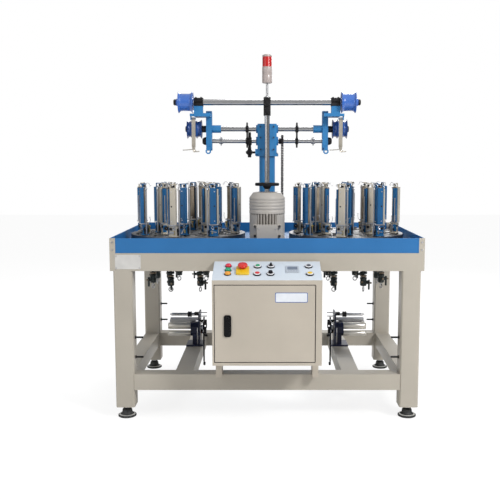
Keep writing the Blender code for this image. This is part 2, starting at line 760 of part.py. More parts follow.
def make_horn_gears():
    """Eight horn gears in each head; next to each other they turn opposite ways and swap carrier colours."""
    shape = horn_gear_shape()
    for polygon in shape.data.polygons:
        middle = polygon.center
        if middle.z > GUIDE_TOP + CARRIER_LIFT / 2:
            polygon.material_index = 1 if middle.x > 0 else 2
    steel = finish("horn_plate_steel", *STEEL)
    colours = (finish("carrier_blue", *CARRIER_BLUE), finish("carrier_silver", *CARRIER_SILVER))
    for material in (steel, *colours):
        shape.data.materials.append(material)
    shape.data.shade_smooth()
    shape.data.set_sharp_from_angle(angle=math.radians(35))
    for side_name, side in SIDES:
        for k, angle, centre in gear_places():
            gear = bpy.data.objects.new(f"horn_gear_{side_name}_{k + 1}", shape.data)
            gear.location = (side * HEAD_X + centre[0], HEAD_Y + centre[1], 0)
            gear.rotation_euler = (0, 0, angle)
            gear.parent = machine
            bpy.context.scene.collection.objects.link(gear)
            for slot in (1, 2):
                gear.material_slots[slot].link = "OBJECT"
                gear.material_slots[slot].material = colours[(k + slot + 1) % 2]
    bpy.data.objects.remove(shape, do_unlink=True)


def make_tower():
    """Column, gearbox housing, centre post with its clamp, cross tube and signal lamp."""
    half = COLUMN_SIDE / 2
    column = combine([
        bar((-half, half), (-half, half), (DRIVE_SEAT, COLUMN_TOP - GAP), COLUMN_EDGE),
        bar((-COLUMN_FOOT_WIDTH / 2, COLUMN_FOOT_WIDTH / 2), (-COLUMN_FOOT_DEPTH / 2, COLUMN_FOOT_DEPTH / 2),
            (DRIVE_SEAT, DRIVE_SEAT + COLUMN_FOOT_THICK), COLUMN_FOOT_EDGE),
    ])
    place("tower_column", column, BLUE, (0, COLUMN_Y, 0), round_piece=False)

    wide = HOUSING_WIDTH / 2
    deep = HOUSING_DEPTH / 2
    proud = wide + SHAFT_BOSS_PROUD
    through = wide + PINION_BOSS_PROUD + LAP
    pinion = (PINION_Y - COLUMN_Y, PINION_Z)
    housing = combine(
        [
            bar((-wide, wide), (-deep, deep), (COLUMN_TOP, HOUSING_TOP), HOUSING_EDGE),
            drum(HOUSING_FLANGE_RADIUS, COLUMN_TOP, COLUMN_TOP + HOUSING_FLANGE_THICK, sides=12),
            drum(UPPER_BOSS, -proud, proud, "X", (0, UPPER_Z), 8),
            drum(LOWER_BOSS, -proud, proud, "X", (0, LOWER_Z), 8),
            drum(PINION_BOSS, -wide - PINION_BOSS_PROUD, 0, "X", pinion, 8),
        ],
        [
            drum(running(UPPER_RADIUS, 12), -through, through, "X", (0, UPPER_Z), 12),
            drum(running(LOWER_RADIUS, 8), -through, through, "X", (0, LOWER_Z), 8),
            drum(running(STUB_RADIUS, 8), -through, STUB_DEPTH - wide, "X", pinion, 8),
        ],
    )
    place("gearbox_housing", housing, BLUE, (0, COLUMN_Y, 0))

    post = combine(
        [
            drum(POST_RADIUS, DRIVE_SEAT, CLAMP_BOTTOM + LAP, sides=12),
            drum(POST_FLANGE_RADIUS, DRIVE_SEAT, DRIVE_SEAT + POST_FLANGE_THICK, sides=12),
            bar((-CLAMP_WIDTH / 2, CLAMP_WIDTH / 2), (-CLAMP_DEPTH / 2, CLAMP_DEPTH / 2),
                (CLAMP_BOTTOM, CLAMP_TOP), CLAMP_EDGE),
        ],
        [drum(TUBE_RADIUS + GAP, -CLAMP_WIDTH, CLAMP_WIDTH, "X", (0, TUBE_Z), 10)],
    )
    place("centre_post", post, STEEL, (0, POST_Y, 0))

    solids = [drum(TUBE_RADIUS, -TUBE_HALF - LAP, TUBE_HALF + LAP, "X", (0, TUBE_Z), 10)]
    clamp = (TUBE_Z - END_CLAMP_BELOW, TUBE_Z + END_CLAMP_ABOVE)
    for _, side in SIDES:
        inner, outer = TUBE_HALF, TUBE_HALF + END_CLAMP
        solids.append(box((side * inner, side * outer), (-END_CLAMP_DEPTH / 2, END_CLAMP_DEPTH / 2), clamp))
        ends = sorted((side * (outer - LAP), side * (GUIDE_OUT + GAP + LAP)))
        solids.append(drum(AXLE_RADIUS, *ends, "X", (0, TUBE_Z), 12))
        ends = sorted((side * (GUIDE_OUT + GAP), side * (GUIDE_OUT + HUB_CAP_LENGTH)))
        solids.append(drum(HUB_CAP_RADIUS, *ends, "X", (0, TUBE_Z), 10))
    place("top_tube", combine(solids), STEEL, (0, POST_Y, 0))

    lamp = turned([
        (POLE_FOOT_RADIUS, CLAMP_TOP + GAP), (POLE_RADIUS, CLAMP_TOP + POLE_FOOT_HEIGHT),
        (POLE_RADIUS, LAMP_BASE), (LAMP_RADIUS, LAMP_BASE), (LAMP_RADIUS, LENS_BOTTOM),
        (LENS_RADIUS, LENS_BOTTOM),
        (LENS_RADIUS, LENS_TOP - LENS_EDGE), (LENS_RADIUS - LENS_EDGE, LENS_TOP),
    ], sides=12)
    place("signal_lamp", lamp, RED, (0, POST_Y, 0))


def make_end_brackets():
    """Blue brackets below the end clamps: they hold both shafts and the pin of the stop lever."""
    for side_name, side in SIDES:

        def along(*values):
            return sorted(side * value for value in values)

        outer = TUBE_HALF + END_CLAMP
        middle = side * (BRACKET_IN + BRACKET_OUT) / 2
        loop = (middle, LOOP_DROP - BRACKET_BOTTOM)
        strut = BRACKET_BOTTOM + STRUT_LIFT
        ear = LEVER_X + LEVER_WIDTH / 2 + EAR_GAP
        head = LEVER_X - LEVER_WIDTH / 2 - PIN_HEAD_GAP
        pin = (LEVER_Y, LEVER_PIVOT_Z)
        solids = [
            bar((COLUMN_Y - BRACKET_DEPTH / 2, COLUMN_Y + BRACKET_DEPTH / 2),
                (BRACKET_BOTTOM, SHELF_TOP + BRACKET_RISE), along(BRACKET_IN, BRACKET_OUT),
                BRACKET_EDGE, "X"),
            box(along(BRACKET_IN + 2 * LAP, outer), (POST_Y - SHELF_FRONT, COLUMN_Y + SHELF_BACK),
                (SHELF_BOTTOM, SHELF_TOP)),
            box(along(TUBE_HALF + 2 * LAP, outer), (POST_Y - SHELF_FRONT, POST_Y + SHELF_FRONT),
                (SHELF_TOP - LAP, TUBE_Z - END_CLAMP_BELOW - GAP)),
            box(along(TUBE_HALF + 3 * LAP, ear + EAR_THICK + LAP),
                (POST_Y - ARM_DEPTH / 2, POST_Y + ARM_DEPTH / 2),
                (SHELF_BOTTOM + 2 * LAP, SHELF_TOP - 2 * LAP)),
            drum(SLEEVE_RADIUS, *along(BRACKET_IN + LAP, BRACKET_IN - SLEEVE_LENGTH), "X",
                 (COLUMN_Y, UPPER_Z), 8),
            box(along(BRACKET_IN + STRUT_INSET, BRACKET_OUT - STRUT_INSET), (LEVER_Y + LOOP_THICK, COLUMN_Y),
                (strut, strut + STRUT_HEIGHT)),
            drum(LOOP_RADIUS, LEVER_Y + LAP, LEVER_Y + LOOP_THICK + LAP, "Y", loop, 8),
            box(along(ear, ear + EAR_THICK), (LEVER_Y - EAR_WIDTH / 2, LEVER_Y + EAR_WIDTH / 2),
                (LEVER_PIVOT_Z - EAR_WIDTH / 2, SHELF_BOTTOM + 3 * LAP)),
            drum(LEVER_PIN, *along(ear + LAP, head - LAP), "X", pin, 6),
            drum(PIN_HEAD_RADIUS, *along(head, head - PIN_HEAD_LENGTH), "X", pin, 6),
        ]
        bore = along(BRACKET_IN - SLEEVE_LENGTH - LAP, BRACKET_OUT + LAP)
        cutters = [
            drum(running(LOWER_RADIUS, 8), *bore, "X", (COLUMN_Y, LOWER_Z), 8),
            drum(running(UPPER_RADIUS, 12), *bore, "X", (COLUMN_Y, UPPER_Z), 12),
            drum(LOOP_BORE, LEVER_Y, LEVER_Y + LOOP_THICK + 2 * LAP, "Y", loop, 6),
        ]
        place(f"end_bracket_{side_name}", combine(solids, cutters), BLUE)


def spur(teeth, x, width, phase, z):
    """A spur gear on a shaft along X."""
    return prism(gear_outline(teeth, phase, (0, z)), x - width / 2, x + width / 2, "X")


def make_shafts():
    """Upper and lower take-up shafts, joined by spur pairs, and the change gear with its pinion."""
    up = math.pi / 2
    half_tooth = math.pi / SPUR_TEETH
    facing = PINION_TILT - math.pi
    reach = CAPSTAN_OUT + GAP
    solids = [drum(UPPER_RADIUS, -reach - LAP, reach + LAP, "X", (0, UPPER_Z), 12)]
    for x in (LEFT_SPUR_X, RIGHT_SPUR_X):
        solids.append(spur(SPUR_TEETH, x, SPUR_WIDTH, -up + half_tooth, UPPER_Z))
    for _, side in SIDES:
        collar = sorted((side * (BRACKET_OUT + GAP), side * (CAPSTAN_IN - GAP)))
        solids.append(drum(SHAFT_COLLAR_RADIUS, *collar, "X", (0, UPPER_Z), 8))
        cap = sorted((side * reach, side * (reach + SHAFT_CAP_LENGTH)))
        solids.append(drum(SHAFT_CAP_RADIUS, *cap, "X", (0, UPPER_Z), 8))
    place("upper_shaft", combine(solids), STEEL, (0, COLUMN_Y, 0))

    tip = BRACKET_OUT + CONE_LENGTH
    solids = [drum(LOWER_RADIUS, -tip + LAP, tip - LAP, "X", (0, LOWER_Z), 8)]
    for x in (LEFT_SPUR_X, RIGHT_SPUR_X):
        solids.append(spur(SPUR_TEETH, x, SPUR_WIDTH, up, LOWER_Z))
    solids.append(spur(CHANGE_TEETH, CHANGE_X, CHANGE_WIDTH, facing, LOWER_Z))
    sprocket = (CHAIN_X - SPROCKET_WIDTH / 2, CHAIN_X + SPROCKET_WIDTH / 2)
    solids.append(drum(SPROCKET_RADIUS, *sprocket, "X", (0, LOWER_Z), 16))
    for _, side in SIDES:
        cone = [(CONE_RADIUS, side * (BRACKET_OUT + GAP)), (LOWER_RADIUS + LAP, side * tip)]
        solids.append(turned(cone, "X", (0, LOWER_Z), 8))
        disc = sorted((side * (COLLAR_X - COLLAR_WIDTH / 2), side * (COLLAR_X + COLLAR_WIDTH / 2)))
        solids.append(drum(COLLAR_RADIUS, *disc, "X", (0, LOWER_Z), 8))
    place("lower_shaft", combine(solids), STEEL, (0, COLUMN_Y, 0))

    half = CHANGE_WIDTH / 2 + PINION_LAP
    wide = HOUSING_WIDTH / 2
    teeth = gear_outline(PINION_TEETH, facing + math.pi + math.pi / PINION_TEETH)
    pinion = combine([
        prism(teeth, CHANGE_X - half, CHANGE_X + half, "X"),
        drum(STUB_RADIUS, CHANGE_X, STUB_DEPTH - wide - 4 * LAP, "X", sides=8),
        drum(PINION_HUB, CHANGE_X, -wide - PINION_BOSS_PROUD - GAP, "X", sides=8),
    ])
    place("gearbox_pinion", pinion, DARK, (0, PINION_Y, PINION_Z))


def make_wheels():
    """Grooved capstans on the upper shaft and flanged guide wheels on the axles of the cross tube."""
    for side_name, side in SIDES:
        bore = UPPER_RADIUS + GAP
        profile = [(bore, 0), (CAPSTAN_RADIUS, 0)]
        groove = CAPSTAN_LENGTH / CAPSTAN_GROOVES
        for k in range(CAPSTAN_GROOVES):
            profile.append((CAPSTAN_RADIUS - GROOVE_DEPTH, (k + 0.5) * groove))
            profile.append((CAPSTAN_RADIUS, (k + 1) * groove))
        profile.append((bore, CAPSTAN_LENGTH))
        wheel = turned([(r, side * (CAPSTAN_IN + a)) for r, a in profile], "X", sides=12, closed=True)
        place(f"capstan_{side_name}", wheel, BLUE, (0, COLUMN_Y, UPPER_Z))

        bore = running(AXLE_RADIUS, 12)
        profile = [
            (bore, GUIDE_IN), (GUIDE_FLANGE, GUIDE_IN), (GUIDE_FLANGE, GUIDE_IN + GUIDE_RIM),
            (GUIDE_BODY, GUIDE_IN + 2 * GUIDE_RIM), (GUIDE_BODY, GUIDE_OUT - 2 * GUIDE_RIM),
            (GUIDE_FLANGE, GUIDE_OUT - GUIDE_RIM), (GUIDE_FLANGE, GUIDE_OUT), (bore, GUIDE_OUT),
        ]
        wheel = turned([(r, side * a) for r, a in profile], "X", sides=12, closed=True)
        place(f"guide_wheel_{side_name}", wheel, BLUE, (0, POST_Y, TUBE_Z))


def make_stop_levers():
    """Flat levers hung in front of the capstans, with the yarn hook at the lower end."""
    half = LEVER_WIDTH / 2
    thin = LEVER_THICK / 2
    low = -LEVER_LENGTH
    hook = (low - HOOK_DROP, low - HOOK_DROP + HOOK_THICK)
    tail = (low - TAIL_DROP - TAIL_THICK, low - TAIL_DROP)
    for side_name, side in SIDES:
        solids = [
            box((-half, half), (-thin, thin), (low, 0)),
            drum(LEVER_EYE, -half, half, "X", sides=6),
            box((-thin, thin), (-thin, thin), (low - HOOK_DROP, low + LAP)),
            box((0, side * HOOK_LENGTH), (-HOOK_THICK / 2, HOOK_THICK / 2), hook),
            box((-side * TAIL_LENGTH, 0), (-TAIL_THICK / 2, TAIL_THICK / 2), tail),
        ]
        lever = combine(solids, [drum(running(LEVER_PIN, 6), -LEVER_WIDTH, LEVER_WIDTH, "X", sides=6)])
        place(f"stop_lever_{side_name}", lever, STEEL, (side * LEVER_X, LEVER_Y, LEVER_PIVOT_Z))


def make_chain():
    """Drive chain, a closed loop over the lower shaft's sprocket and down through the deck."""
    inner = running(SPROCKET_RADIUS, 16)

    def loop(radius, bottom):
        arc = [math.pi * k / 8 for k in range(9)]
        top = [(radius * math.cos(a), LOWER_Z + radius * math.sin(a)) for a in arc]
        return top + [(-radius, bottom), (radius, bottom)]

    chain = combine(
        [prism(loop(inner + CHAIN_THICK, CHAIN_BOTTOM), -CHAIN_WIDTH / 2, CHAIN_WIDTH / 2, "X")],
        [prism(loop(inner, CHAIN_BOTTOM + CHAIN_THICK), -CHAIN_WIDTH, CHAIN_WIDTH, "X")],
    )
    place("drive_chain", chain, DARK, (CHAIN_X, COLUMN_Y, 0))


def make_motor():
    """Main motor standing on the deck: finned body with terminal box, fan cowl, handwheel on its shaft."""
    fins = []
    step = math.pi / MOTOR_FINS
    corners = ((-0.8, MOTOR_CORE), (-0.4, FIN_CREST), (0.4, FIN_CREST), (0.8, MOTOR_CORE))
    for k in range(MOTOR_FINS):
        for share, radius in corners:
            angle = (2 * k + share) * step
            fins.append((radius * math.cos(angle), radius * math.sin(angle)))
    flange = MOTOR_FLANGE_WIDTH / 2
    terminal = FIN_BOTTOM - TERMINAL_DROP
    body = combine(
        [
            prism(fins, FIN_BOTTOM, COWL_BOTTOM - GAP),
            drum(MOTOR_NECK, DRIVE_SEAT, FIN_BOTTOM + LAP, sides=12),
            bar((-flange, flange), (-flange, flange), (DRIVE_SEAT, DRIVE_SEAT + MOTOR_FLANGE_THICK),
                MOTOR_FLANGE_EDGE),
            bar((-TERMINAL_WIDTH / 2, TERMINAL_WIDTH / 2), (-MOTOR_RADIUS - TERMINAL_PROUD, -TERMINAL_ROOT),
                (terminal, terminal + TERMINAL_HEIGHT), TERMINAL_EDGE),
        ],
        [drum(running(MOTOR_SHAFT, 8), COWL_BOTTOM - SHAFT_SEAT, COWL_BOTTOM + LAP, sides=8)],
    )
    place("motor_body", body, MOTOR_GREY, (0, MOTOR_Y, 0))

    inside = MOTOR_RADIUS - COWL_WALL
    crown = MOTOR_RADIUS - COWL_CROWN
    cowl = turned([
        (MOTOR_RADIUS, COWL_BOTTOM), (MOTOR_RADIUS, COWL_TOP - COWL_SHOULDER),
        (MOTOR_RADIUS - COWL_STEP, COWL_TOP - COWL_EDGE), (crown, COWL_TOP), (COWL_HOLE, COWL_TOP),
        (COWL_HOLE, COWL_TOP - COWL_WALL), (crown, COWL_TOP - COWL_WALL),
        (inside, COWL_TOP - COWL_SHOULDER - COWL_WALL), (inside, COWL_BOTTOM),
    ], sides=12, closed=True)
    place("fan_cowl", cowl, MOTOR_GREY, (0, MOTOR_Y, 0))

    rim = HANDWHEEL_RADIUS
    inner = rim - HANDWHEEL_RIM
    half = HANDWHEEL_THICK / 2
    solids = [
        turned([(rim, -half), (rim, half), (inner, half + LAP), (inner, -half - LAP)], sides=12, closed=True),
        turned([
            (MOTOR_SHAFT, COWL_BOTTOM - SHAFT_SEAT + GAP - HANDWHEEL_Z), (MOTOR_SHAFT, -HUB_DROP),
            (HUB_NECK, 2 * LAP - HUB_DROP), (HUB_RADIUS, -HUB_TAPER), (HUB_RADIUS, HUB_TOP),
        ], sides=8),
    ]
    for k in range(SPOKES):
        spoke = box((HUB_NECK - LAP, inner + 3 * LAP), (-SPOKE_WIDTH / 2, SPOKE_WIDTH / 2),
                    (LAP - SPOKE_THICK, LAP))
        spoke.data.transform(Matrix.Rotation((k + 0.25) * 2 * math.pi / SPOKES, 4, "Z"))
        solids.append(spoke)
    place("handwheel", combine(solids), DARK, (0, MOTOR_Y, HANDWHEEL_Z))


# Name, x, share of the console's depth from its front edge, kind, colour
CONTROLS = (
    ("emergency_stop", -0.1105, 0.53, "mushroom", RED),
    ("start_button", -0.043, 0.70, "button", GREEN),
    ("stop_button", -0.0445, 0.30, "button", RED),
    ("selector_switch", 0.0173, 0.70, "selector", DARK),
    ("speed_knob", 0.0153, 0.30, "knob", DARK),
    ("white_button", 0.190, 0.70, "button", WHITE),
    ("yellow_button", 0.1925, 0.30, "button", YELLOW),
)


def tilted(shape):
    """Moves a shape from the console's own plane to the cabinet's place."""
    turn = Matrix.Rotation(CONSOLE_SLOPE, 4, "X")
    shift = Matrix.Translation((0, -CABINET_REACH, CABINET_FRONT_TOP))
    shape.data.transform(shift @ turn)
    return shape


def make_cabinet():
    """Control cabinet with its sloped console and bezels, its door and the latch."""
    half = CABINET_WIDTH / 2
    front = -CABINET_REACH
    outline = [
        (front, CABINET_BOTTOM), (-GAP, CABINET_BOTTOM), (-GAP, CABINET_BACK_TOP),
        (-CONSOLE_BACK, CABINET_BACK_TOP), (front, CABINET_FRONT_TOP),
    ]
    solids = [prism(outline, -half, half, "X")]
    for side in (-1, 1):
        near = side * (BRACKET_X - CABINET_BRACKET_WIDTH / 2)
        far = side * (BRACKET_X + CABINET_BRACKET_WIDTH / 2)
        solids.append(box((near, far), (-CABINET_BRACKET_REACH, CABINET_BRACKET_REACH),
                          (RAIL_TOP + GAP, CABINET_BOTTOM + LAP)))
    cutters = [
        box((DOOR_LEFT - DOOR_GAP, DOOR_RIGHT + DOOR_GAP), (front - LAP, front + DOOR_THICK + DOOR_GAP),
            (DOOR_BOTTOM - DOOR_GAP, DOOR_TOP + DOOR_GAP)),
        box((DOOR_LEFT + CABINET_FLANGE, DOOR_RIGHT - CABINET_FLANGE), (front + DOOR_THICK, -SHEET),
            (DOOR_BOTTOM + CABINET_FLANGE, DOOR_TOP - CABINET_FLANGE)),
    ]
    for _, x, share, kind, _ in CONTROLS:
        centre = (x, share * CONSOLE_LENGTH)
        if kind == "mushroom":
            solids.append(tilted(drum(STOP_COLLAR_RADIUS, -LAP, STOP_COLLAR_HEIGHT, "Z", centre, 12)))
        solids.append(tilted(drum(BEZEL_RADIUS, -LAP, BEZEL_HEIGHT, "Z", centre, 8)))
        turns = kind in ("selector", "knob")
        sides = 12 if turns else 8
        pocket = running(PLUNGER_RADIUS, sides) if turns else PLUNGER_RADIUS + GAP
        cutters.append(tilted(drum(pocket, -POCKET_DEPTH, BEZEL_HEIGHT + LAP, "Z", centre, sides)))
    for share in PILOT_SHARES:
        centre = (PILOT_X, share * CONSOLE_LENGTH)
        solids.append(tilted(drum(PILOT_RADIUS, -LAP, PILOT_HEIGHT, "Z", centre, 5)))
    middle = DISPLAY_SHARE * CONSOLE_LENGTH
    solids.append(tilted(box((DISPLAY_X - DISPLAY_WIDTH / 2, DISPLAY_X + DISPLAY_WIDTH / 2),
                             (middle - DISPLAY_LENGTH / 2, middle + DISPLAY_LENGTH / 2),
                             (-LAP, DISPLAY_HEIGHT))))
    place("cabinet", combine(solids, cutters), BEIGE, round_piece=False)

    width = DOOR_RIGHT - DOOR_LEFT
    door = combine(
        [box((-width, 0), (0, DOOR_THICK), (DOOR_BOTTOM, DOOR_TOP))],
        [box((SHEET - width, -SHEET), (SHEET, DOOR_THICK + LAP), (DOOR_BOTTOM + SHEET, DOOR_TOP - SHEET))],
    )
    place("cabinet_door", door, BEIGE, (DOOR_RIGHT, front, 0), round_piece=False)

    pivot = LATCH_TOP - LATCH_WIDTH / 2
    latch = combine([
        bar((-LATCH_WIDTH / 2, LATCH_WIDTH / 2), (LATCH_BOTTOM - pivot, LATCH_TOP - pivot),
            (-LATCH_BASE, -GAP), LATCH_EDGE),
        bar((-PADDLE_WIDTH / 2, PADDLE_WIDTH / 2),
            (LATCH_BOTTOM - pivot + PADDLE_BELOW, LATCH_TOP - pivot - PADDLE_ABOVE),
            (-LATCH_PROUD, LATCH_LAP - LATCH_BASE), PADDLE_EDGE),
    ])
    latch.data.transform(Matrix(((1, 0, 0), (0, 0, 1), (0, 1, 0))).to_4x4())
    latch.data.flip_normals()
    place("door_latch", latch, DARK, (LATCH_X, front, pivot), round_piece=False)


def make_controls():
    """Buttons and knobs in the console's pockets, their own Z along the console's normal."""
    console = empty("console", (0, -CABINET_REACH, CABINET_FRONT_TOP), machine, CONSOLE_SLOPE)
    for name, x, share, kind, colouring in CONTROLS:
        radius = PLUNGER_RADIUS
        if kind == "mushroom":
            shape = turned([
                (radius, -PLUNGER_DEPTH), (radius, MUSHROOM_BOTTOM),
                (MUSHROOM_RADIUS, MUSHROOM_BOTTOM + CAP_EDGE), (MUSHROOM_RADIUS, MUSHROOM_EDGE),
                (MUSHROOM_RADIUS / 2, MUSHROOM_TOP),
            ], sides=8)
        elif kind == "button":
            shape = turned([
                (radius, -PLUNGER_DEPTH), (radius, BUTTON_HEIGHT - CAP_EDGE),
                (radius - CAP_EDGE, BUTTON_HEIGHT),
            ], sides=8)
        else:
            stem = turned([
                (radius, -PLUNGER_DEPTH), (radius, BEZEL_HEIGHT + LAP),
                (radius - CAP_EDGE, BEZEL_HEIGHT + LAP + CAP_EDGE),
            ], sides=12)
            if kind == "selector":
                handle = box((-HANDLE_WIDTH / 2, HANDLE_WIDTH / 2), (-HANDLE_LENGTH / 2, HANDLE_LENGTH / 2),
                             (0, HANDLE_TOP))
            else:
                handle = drum(KNOB_RADIUS, 0, KNOB_TOP, sides=8)
            shape = combine([stem, handle])
        place(name, shape, colouring, (x, share * CONSOLE_LENGTH, 0), parent=console)


def make_feed_units():
    """Yarn feed units on the inner beams: bracket with gear case, driven roller and nip roller."""
    for side_name, side in SIDES:

        def along(*values):
            return sorted(side * value for value in values)

        base = RAIL_TOP + GAP
        case_y = FEED_Y + CASE_SHIFT
        plate_in = CASE_IN - SIDE_PLATE_THICK + LAP
        rod = (FEED_Y + ROD_BACK, FEED_ROLLER_Z + ROD_RISE)
        back_rod = (FEED_Y + BACK_ROD_BACK, FEED_ROLLER_Z + BACK_ROD_RISE)
        disc = CASE_IN + ROD_DISC_START
        lever_y = FEED_Y - WEIGHT_LEVER_BACK
        lever_x = CASE_IN - WEIGHT_LEVER_OUT
        lever_top = FEED_ROLLER_Z + 2 * LAP
        lever_bottom = lever_top - WEIGHT_LEVER_LENGTH
        weight_x = lever_x - WEIGHT_LENGTH + LAP
        spool = (FEED_Y + SPOOL_BACK, FEED_ROLLER_Z - SPOOL_DROP)
        solids = [
            box(along(CASE_IN - FEED_BASE_IN, CASE_IN + FEED_BASE_OUT),
                (FEED_Y - FEED_BASE_FRONT, FEED_Y + FEED_BASE_REAR), (base, base + FEED_BASE_THICK)),
            box(along(plate_in, CASE_IN + LAP),
                (FEED_Y - FEED_BASE_FRONT + SIDE_PLATE_INSET, FEED_Y + FEED_BASE_REAR - SIDE_PLATE_INSET),
                (base + FEED_BASE_THICK - LAP, base + SIDE_PLATE_HEIGHT)),
            bar((case_y - CASE_HALF_DEPTH, case_y + CASE_HALF_DEPTH),
                (CASE_Z - CASE_RADIUS, CASE_Z + CASE_RADIUS), along(CASE_IN, ROLLER_IN - GAP),
                CASE_EDGE, "X"),
            box(along(CASE_IN + PEDESTAL_IN, CASE_IN + PEDESTAL_IN + PEDESTAL_WIDTH),
                (case_y - CASE_HALF_DEPTH + PEDESTAL_INSET, case_y + CASE_HALF_DEPTH - PEDESTAL_INSET),
                (base + FEED_BASE_THICK - LAP, CASE_Z)),
            drum(ROD_RADIUS, *along(CASE_IN, CASE_IN + ROD_LENGTH), "X", rod, 6),
            drum(BACK_ROD_RADIUS, *along(CASE_IN, CASE_IN + BACK_ROD_LENGTH), "X", back_rod, 6),
            drum(ROD_DISC_RADIUS, *along(disc, disc + ROD_DISC_LENGTH), "X", back_rod, 8),
            drum(WEIGHT_LEVER_HUB, *along(plate_in + LAP, lever_x - WEIGHT_LEVER_THICK), "X",
                 (lever_y, lever_top - WEIGHT_LEVER_THICK), 6),
            box(along(lever_x - WEIGHT_LEVER_THICK, lever_x),
                (lever_y - WEIGHT_LEVER_WIDTH / 2, lever_y + WEIGHT_LEVER_WIDTH / 2),
                (lever_bottom, lever_top)),
            drum(WEIGHT_RADIUS, *along(weight_x, weight_x + WEIGHT_LENGTH), "X",
                 (lever_y, lever_bottom - WEIGHT_RADIUS + 4 * LAP), 6),
            drum(SPOOL_RADIUS, *along(plate_in + LAP, plate_in + LAP - SPOOL_LENGTH), "X", spool, 8),
        ]
        for back, rise in GUIDE_PINS:
            solids.append(drum(GUIDE_PIN_RADIUS, *along(plate_in + LAP, plate_in + LAP - GUIDE_PIN_LENGTH),
                               "X", (FEED_Y + back, FEED_ROLLER_Z + rise), 4))
        stub = along(ROLLER_IN - ROLLER_STUB - LAP, ROLLER_IN + LAP)
        cutters = [
            drum(running(STUB_RADIUS, 8), *stub, "X", (FEED_Y, FEED_ROLLER_Z), 8),
            drum(running(STUB_RADIUS, 8), *stub, "X", (NIP_ROLLER_Y, NIP_ROLLER_Z), 8),
        ]
        place(f"feed_bracket_{side_name}", combine(solids, cutters), NAVY)
        rollers = (
            ("feed_roller", FEED_ROLLER_RADIUS, FEED_Y, FEED_ROLLER_Z),
            ("nip_roller", NIP_ROLLER_RADIUS, NIP_ROLLER_Y, NIP_ROLLER_Z),
        )
        for name, radius, y, z in rollers:
            roller = combine([
                drum(radius, *along(ROLLER_IN, ROLLER_OUT), "X", sides=14),
                drum(STUB_RADIUS, *along(ROLLER_IN - ROLLER_STUB, ROLLER_IN + LAP), "X", sides=8),
            ])
            place(f"{name}_{side_name}", roller, STEEL, (0, y, z))


for leftover in list(bpy.data.objects):
    bpy.data.objects.remove(leftover, do_unlink=True)

machine = empty("machine", (0, FRONT_Y, 0))
make_frame()
make_feet()
make_tray()
make_track_plates()
make_horn_gears()
make_tower()
make_end_brackets()
make_shafts()
make_wheels()
make_stop_levers()
make_chain()
make_motor()
make_cabinet()
make_controls()
make_feed_units()
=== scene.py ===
"""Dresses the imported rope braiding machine: smooth and detailed pieces, their finishes, and the stage.

Metres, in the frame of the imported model: +Z up, the control cabinet faces -Y, X to the right of someone
who faces the cabinet. Every new surface is worked out with numpy on a grid of two parameters, or as a
profile carried along a path.
"""

import json
import math

import bmesh
import bpy
import numpy as np
from bpy.props import FloatProperty, FloatVectorProperty, IntProperty, PointerProperty
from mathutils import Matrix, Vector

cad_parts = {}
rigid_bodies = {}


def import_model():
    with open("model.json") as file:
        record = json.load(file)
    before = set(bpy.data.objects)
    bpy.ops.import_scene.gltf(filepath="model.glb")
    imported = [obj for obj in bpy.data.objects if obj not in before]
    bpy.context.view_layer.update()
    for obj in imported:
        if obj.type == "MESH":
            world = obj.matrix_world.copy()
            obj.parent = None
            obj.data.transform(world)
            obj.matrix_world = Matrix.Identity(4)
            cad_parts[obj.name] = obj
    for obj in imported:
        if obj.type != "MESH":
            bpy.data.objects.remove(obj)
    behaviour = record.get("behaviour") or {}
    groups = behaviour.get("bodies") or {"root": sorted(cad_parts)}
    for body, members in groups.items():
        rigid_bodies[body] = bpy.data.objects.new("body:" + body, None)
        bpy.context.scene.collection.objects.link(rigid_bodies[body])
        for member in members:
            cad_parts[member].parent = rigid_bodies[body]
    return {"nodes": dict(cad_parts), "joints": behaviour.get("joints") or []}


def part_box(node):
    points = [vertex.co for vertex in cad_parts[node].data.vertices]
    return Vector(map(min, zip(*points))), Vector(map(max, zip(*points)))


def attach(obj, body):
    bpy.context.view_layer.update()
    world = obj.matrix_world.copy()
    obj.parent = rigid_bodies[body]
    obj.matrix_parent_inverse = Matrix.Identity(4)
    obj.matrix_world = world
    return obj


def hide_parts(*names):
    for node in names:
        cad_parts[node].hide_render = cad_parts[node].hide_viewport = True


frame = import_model()

bl_info = {
    "name": "Rope braiding machine",
    "version": (1, 0, 0),
    "blender": (4, 5, 0),
    "location": "3D Viewport > Sidebar > Braider",
    "description": "Dresses the packed rope braiding machine with its visible pieces and finishes",
    "category": "Object",
}

TURN = 2 * math.pi
SIDES = (("left", -1), ("right", 1))
BOX = {name: np.array([list(corner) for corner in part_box(name)]) for name in frame["nodes"]}
AXIS = {joint["child"]: np.array(joint["pos_m"]) for joint in frame["joints"]}
FRONT = BOX["frame"][0][1]
GUIDE_TOP = BOX["track_plate_left"][1][2]
PLATE_SEAT = 0.8153
HORN_SEAT = 0.8353
TRACK_RADIUS = 0.075
CABINET_FACE = FRONT - 0.190
CONSOLE_RISE, CONSOLE_DEPTH = 0.060, 0.178
SLOPE = math.atan2(CONSOLE_RISE, CONSOLE_DEPTH)
CONSOLE_LENGTH = math.hypot(CONSOLE_RISE, CONSOLE_DEPTH)
CONSOLE_EDGE = (0.0, CABINET_FACE, 0.700)

# The emergency stop's place across and along the console, and the radii of a control's stem and of the
# hole in its rings.
STOP_X, STOP_SHARE = -0.1105, 0.53
STEM, HOLE = 0.0103, 0.0107
# How far below the console's plane its pale film begins, and the colours that count as near black.
FILM = 0.0006
NEAR_BLACK, NEAR_BLACK_IOR = 0.02, 1.25

# The stage: half the floor's side, its glow and the share of it that the camera sees.
FLOOR_REACH, FLOOR_GLOW, FLOOR_SHARE = 14.0, 1.11, 0.74
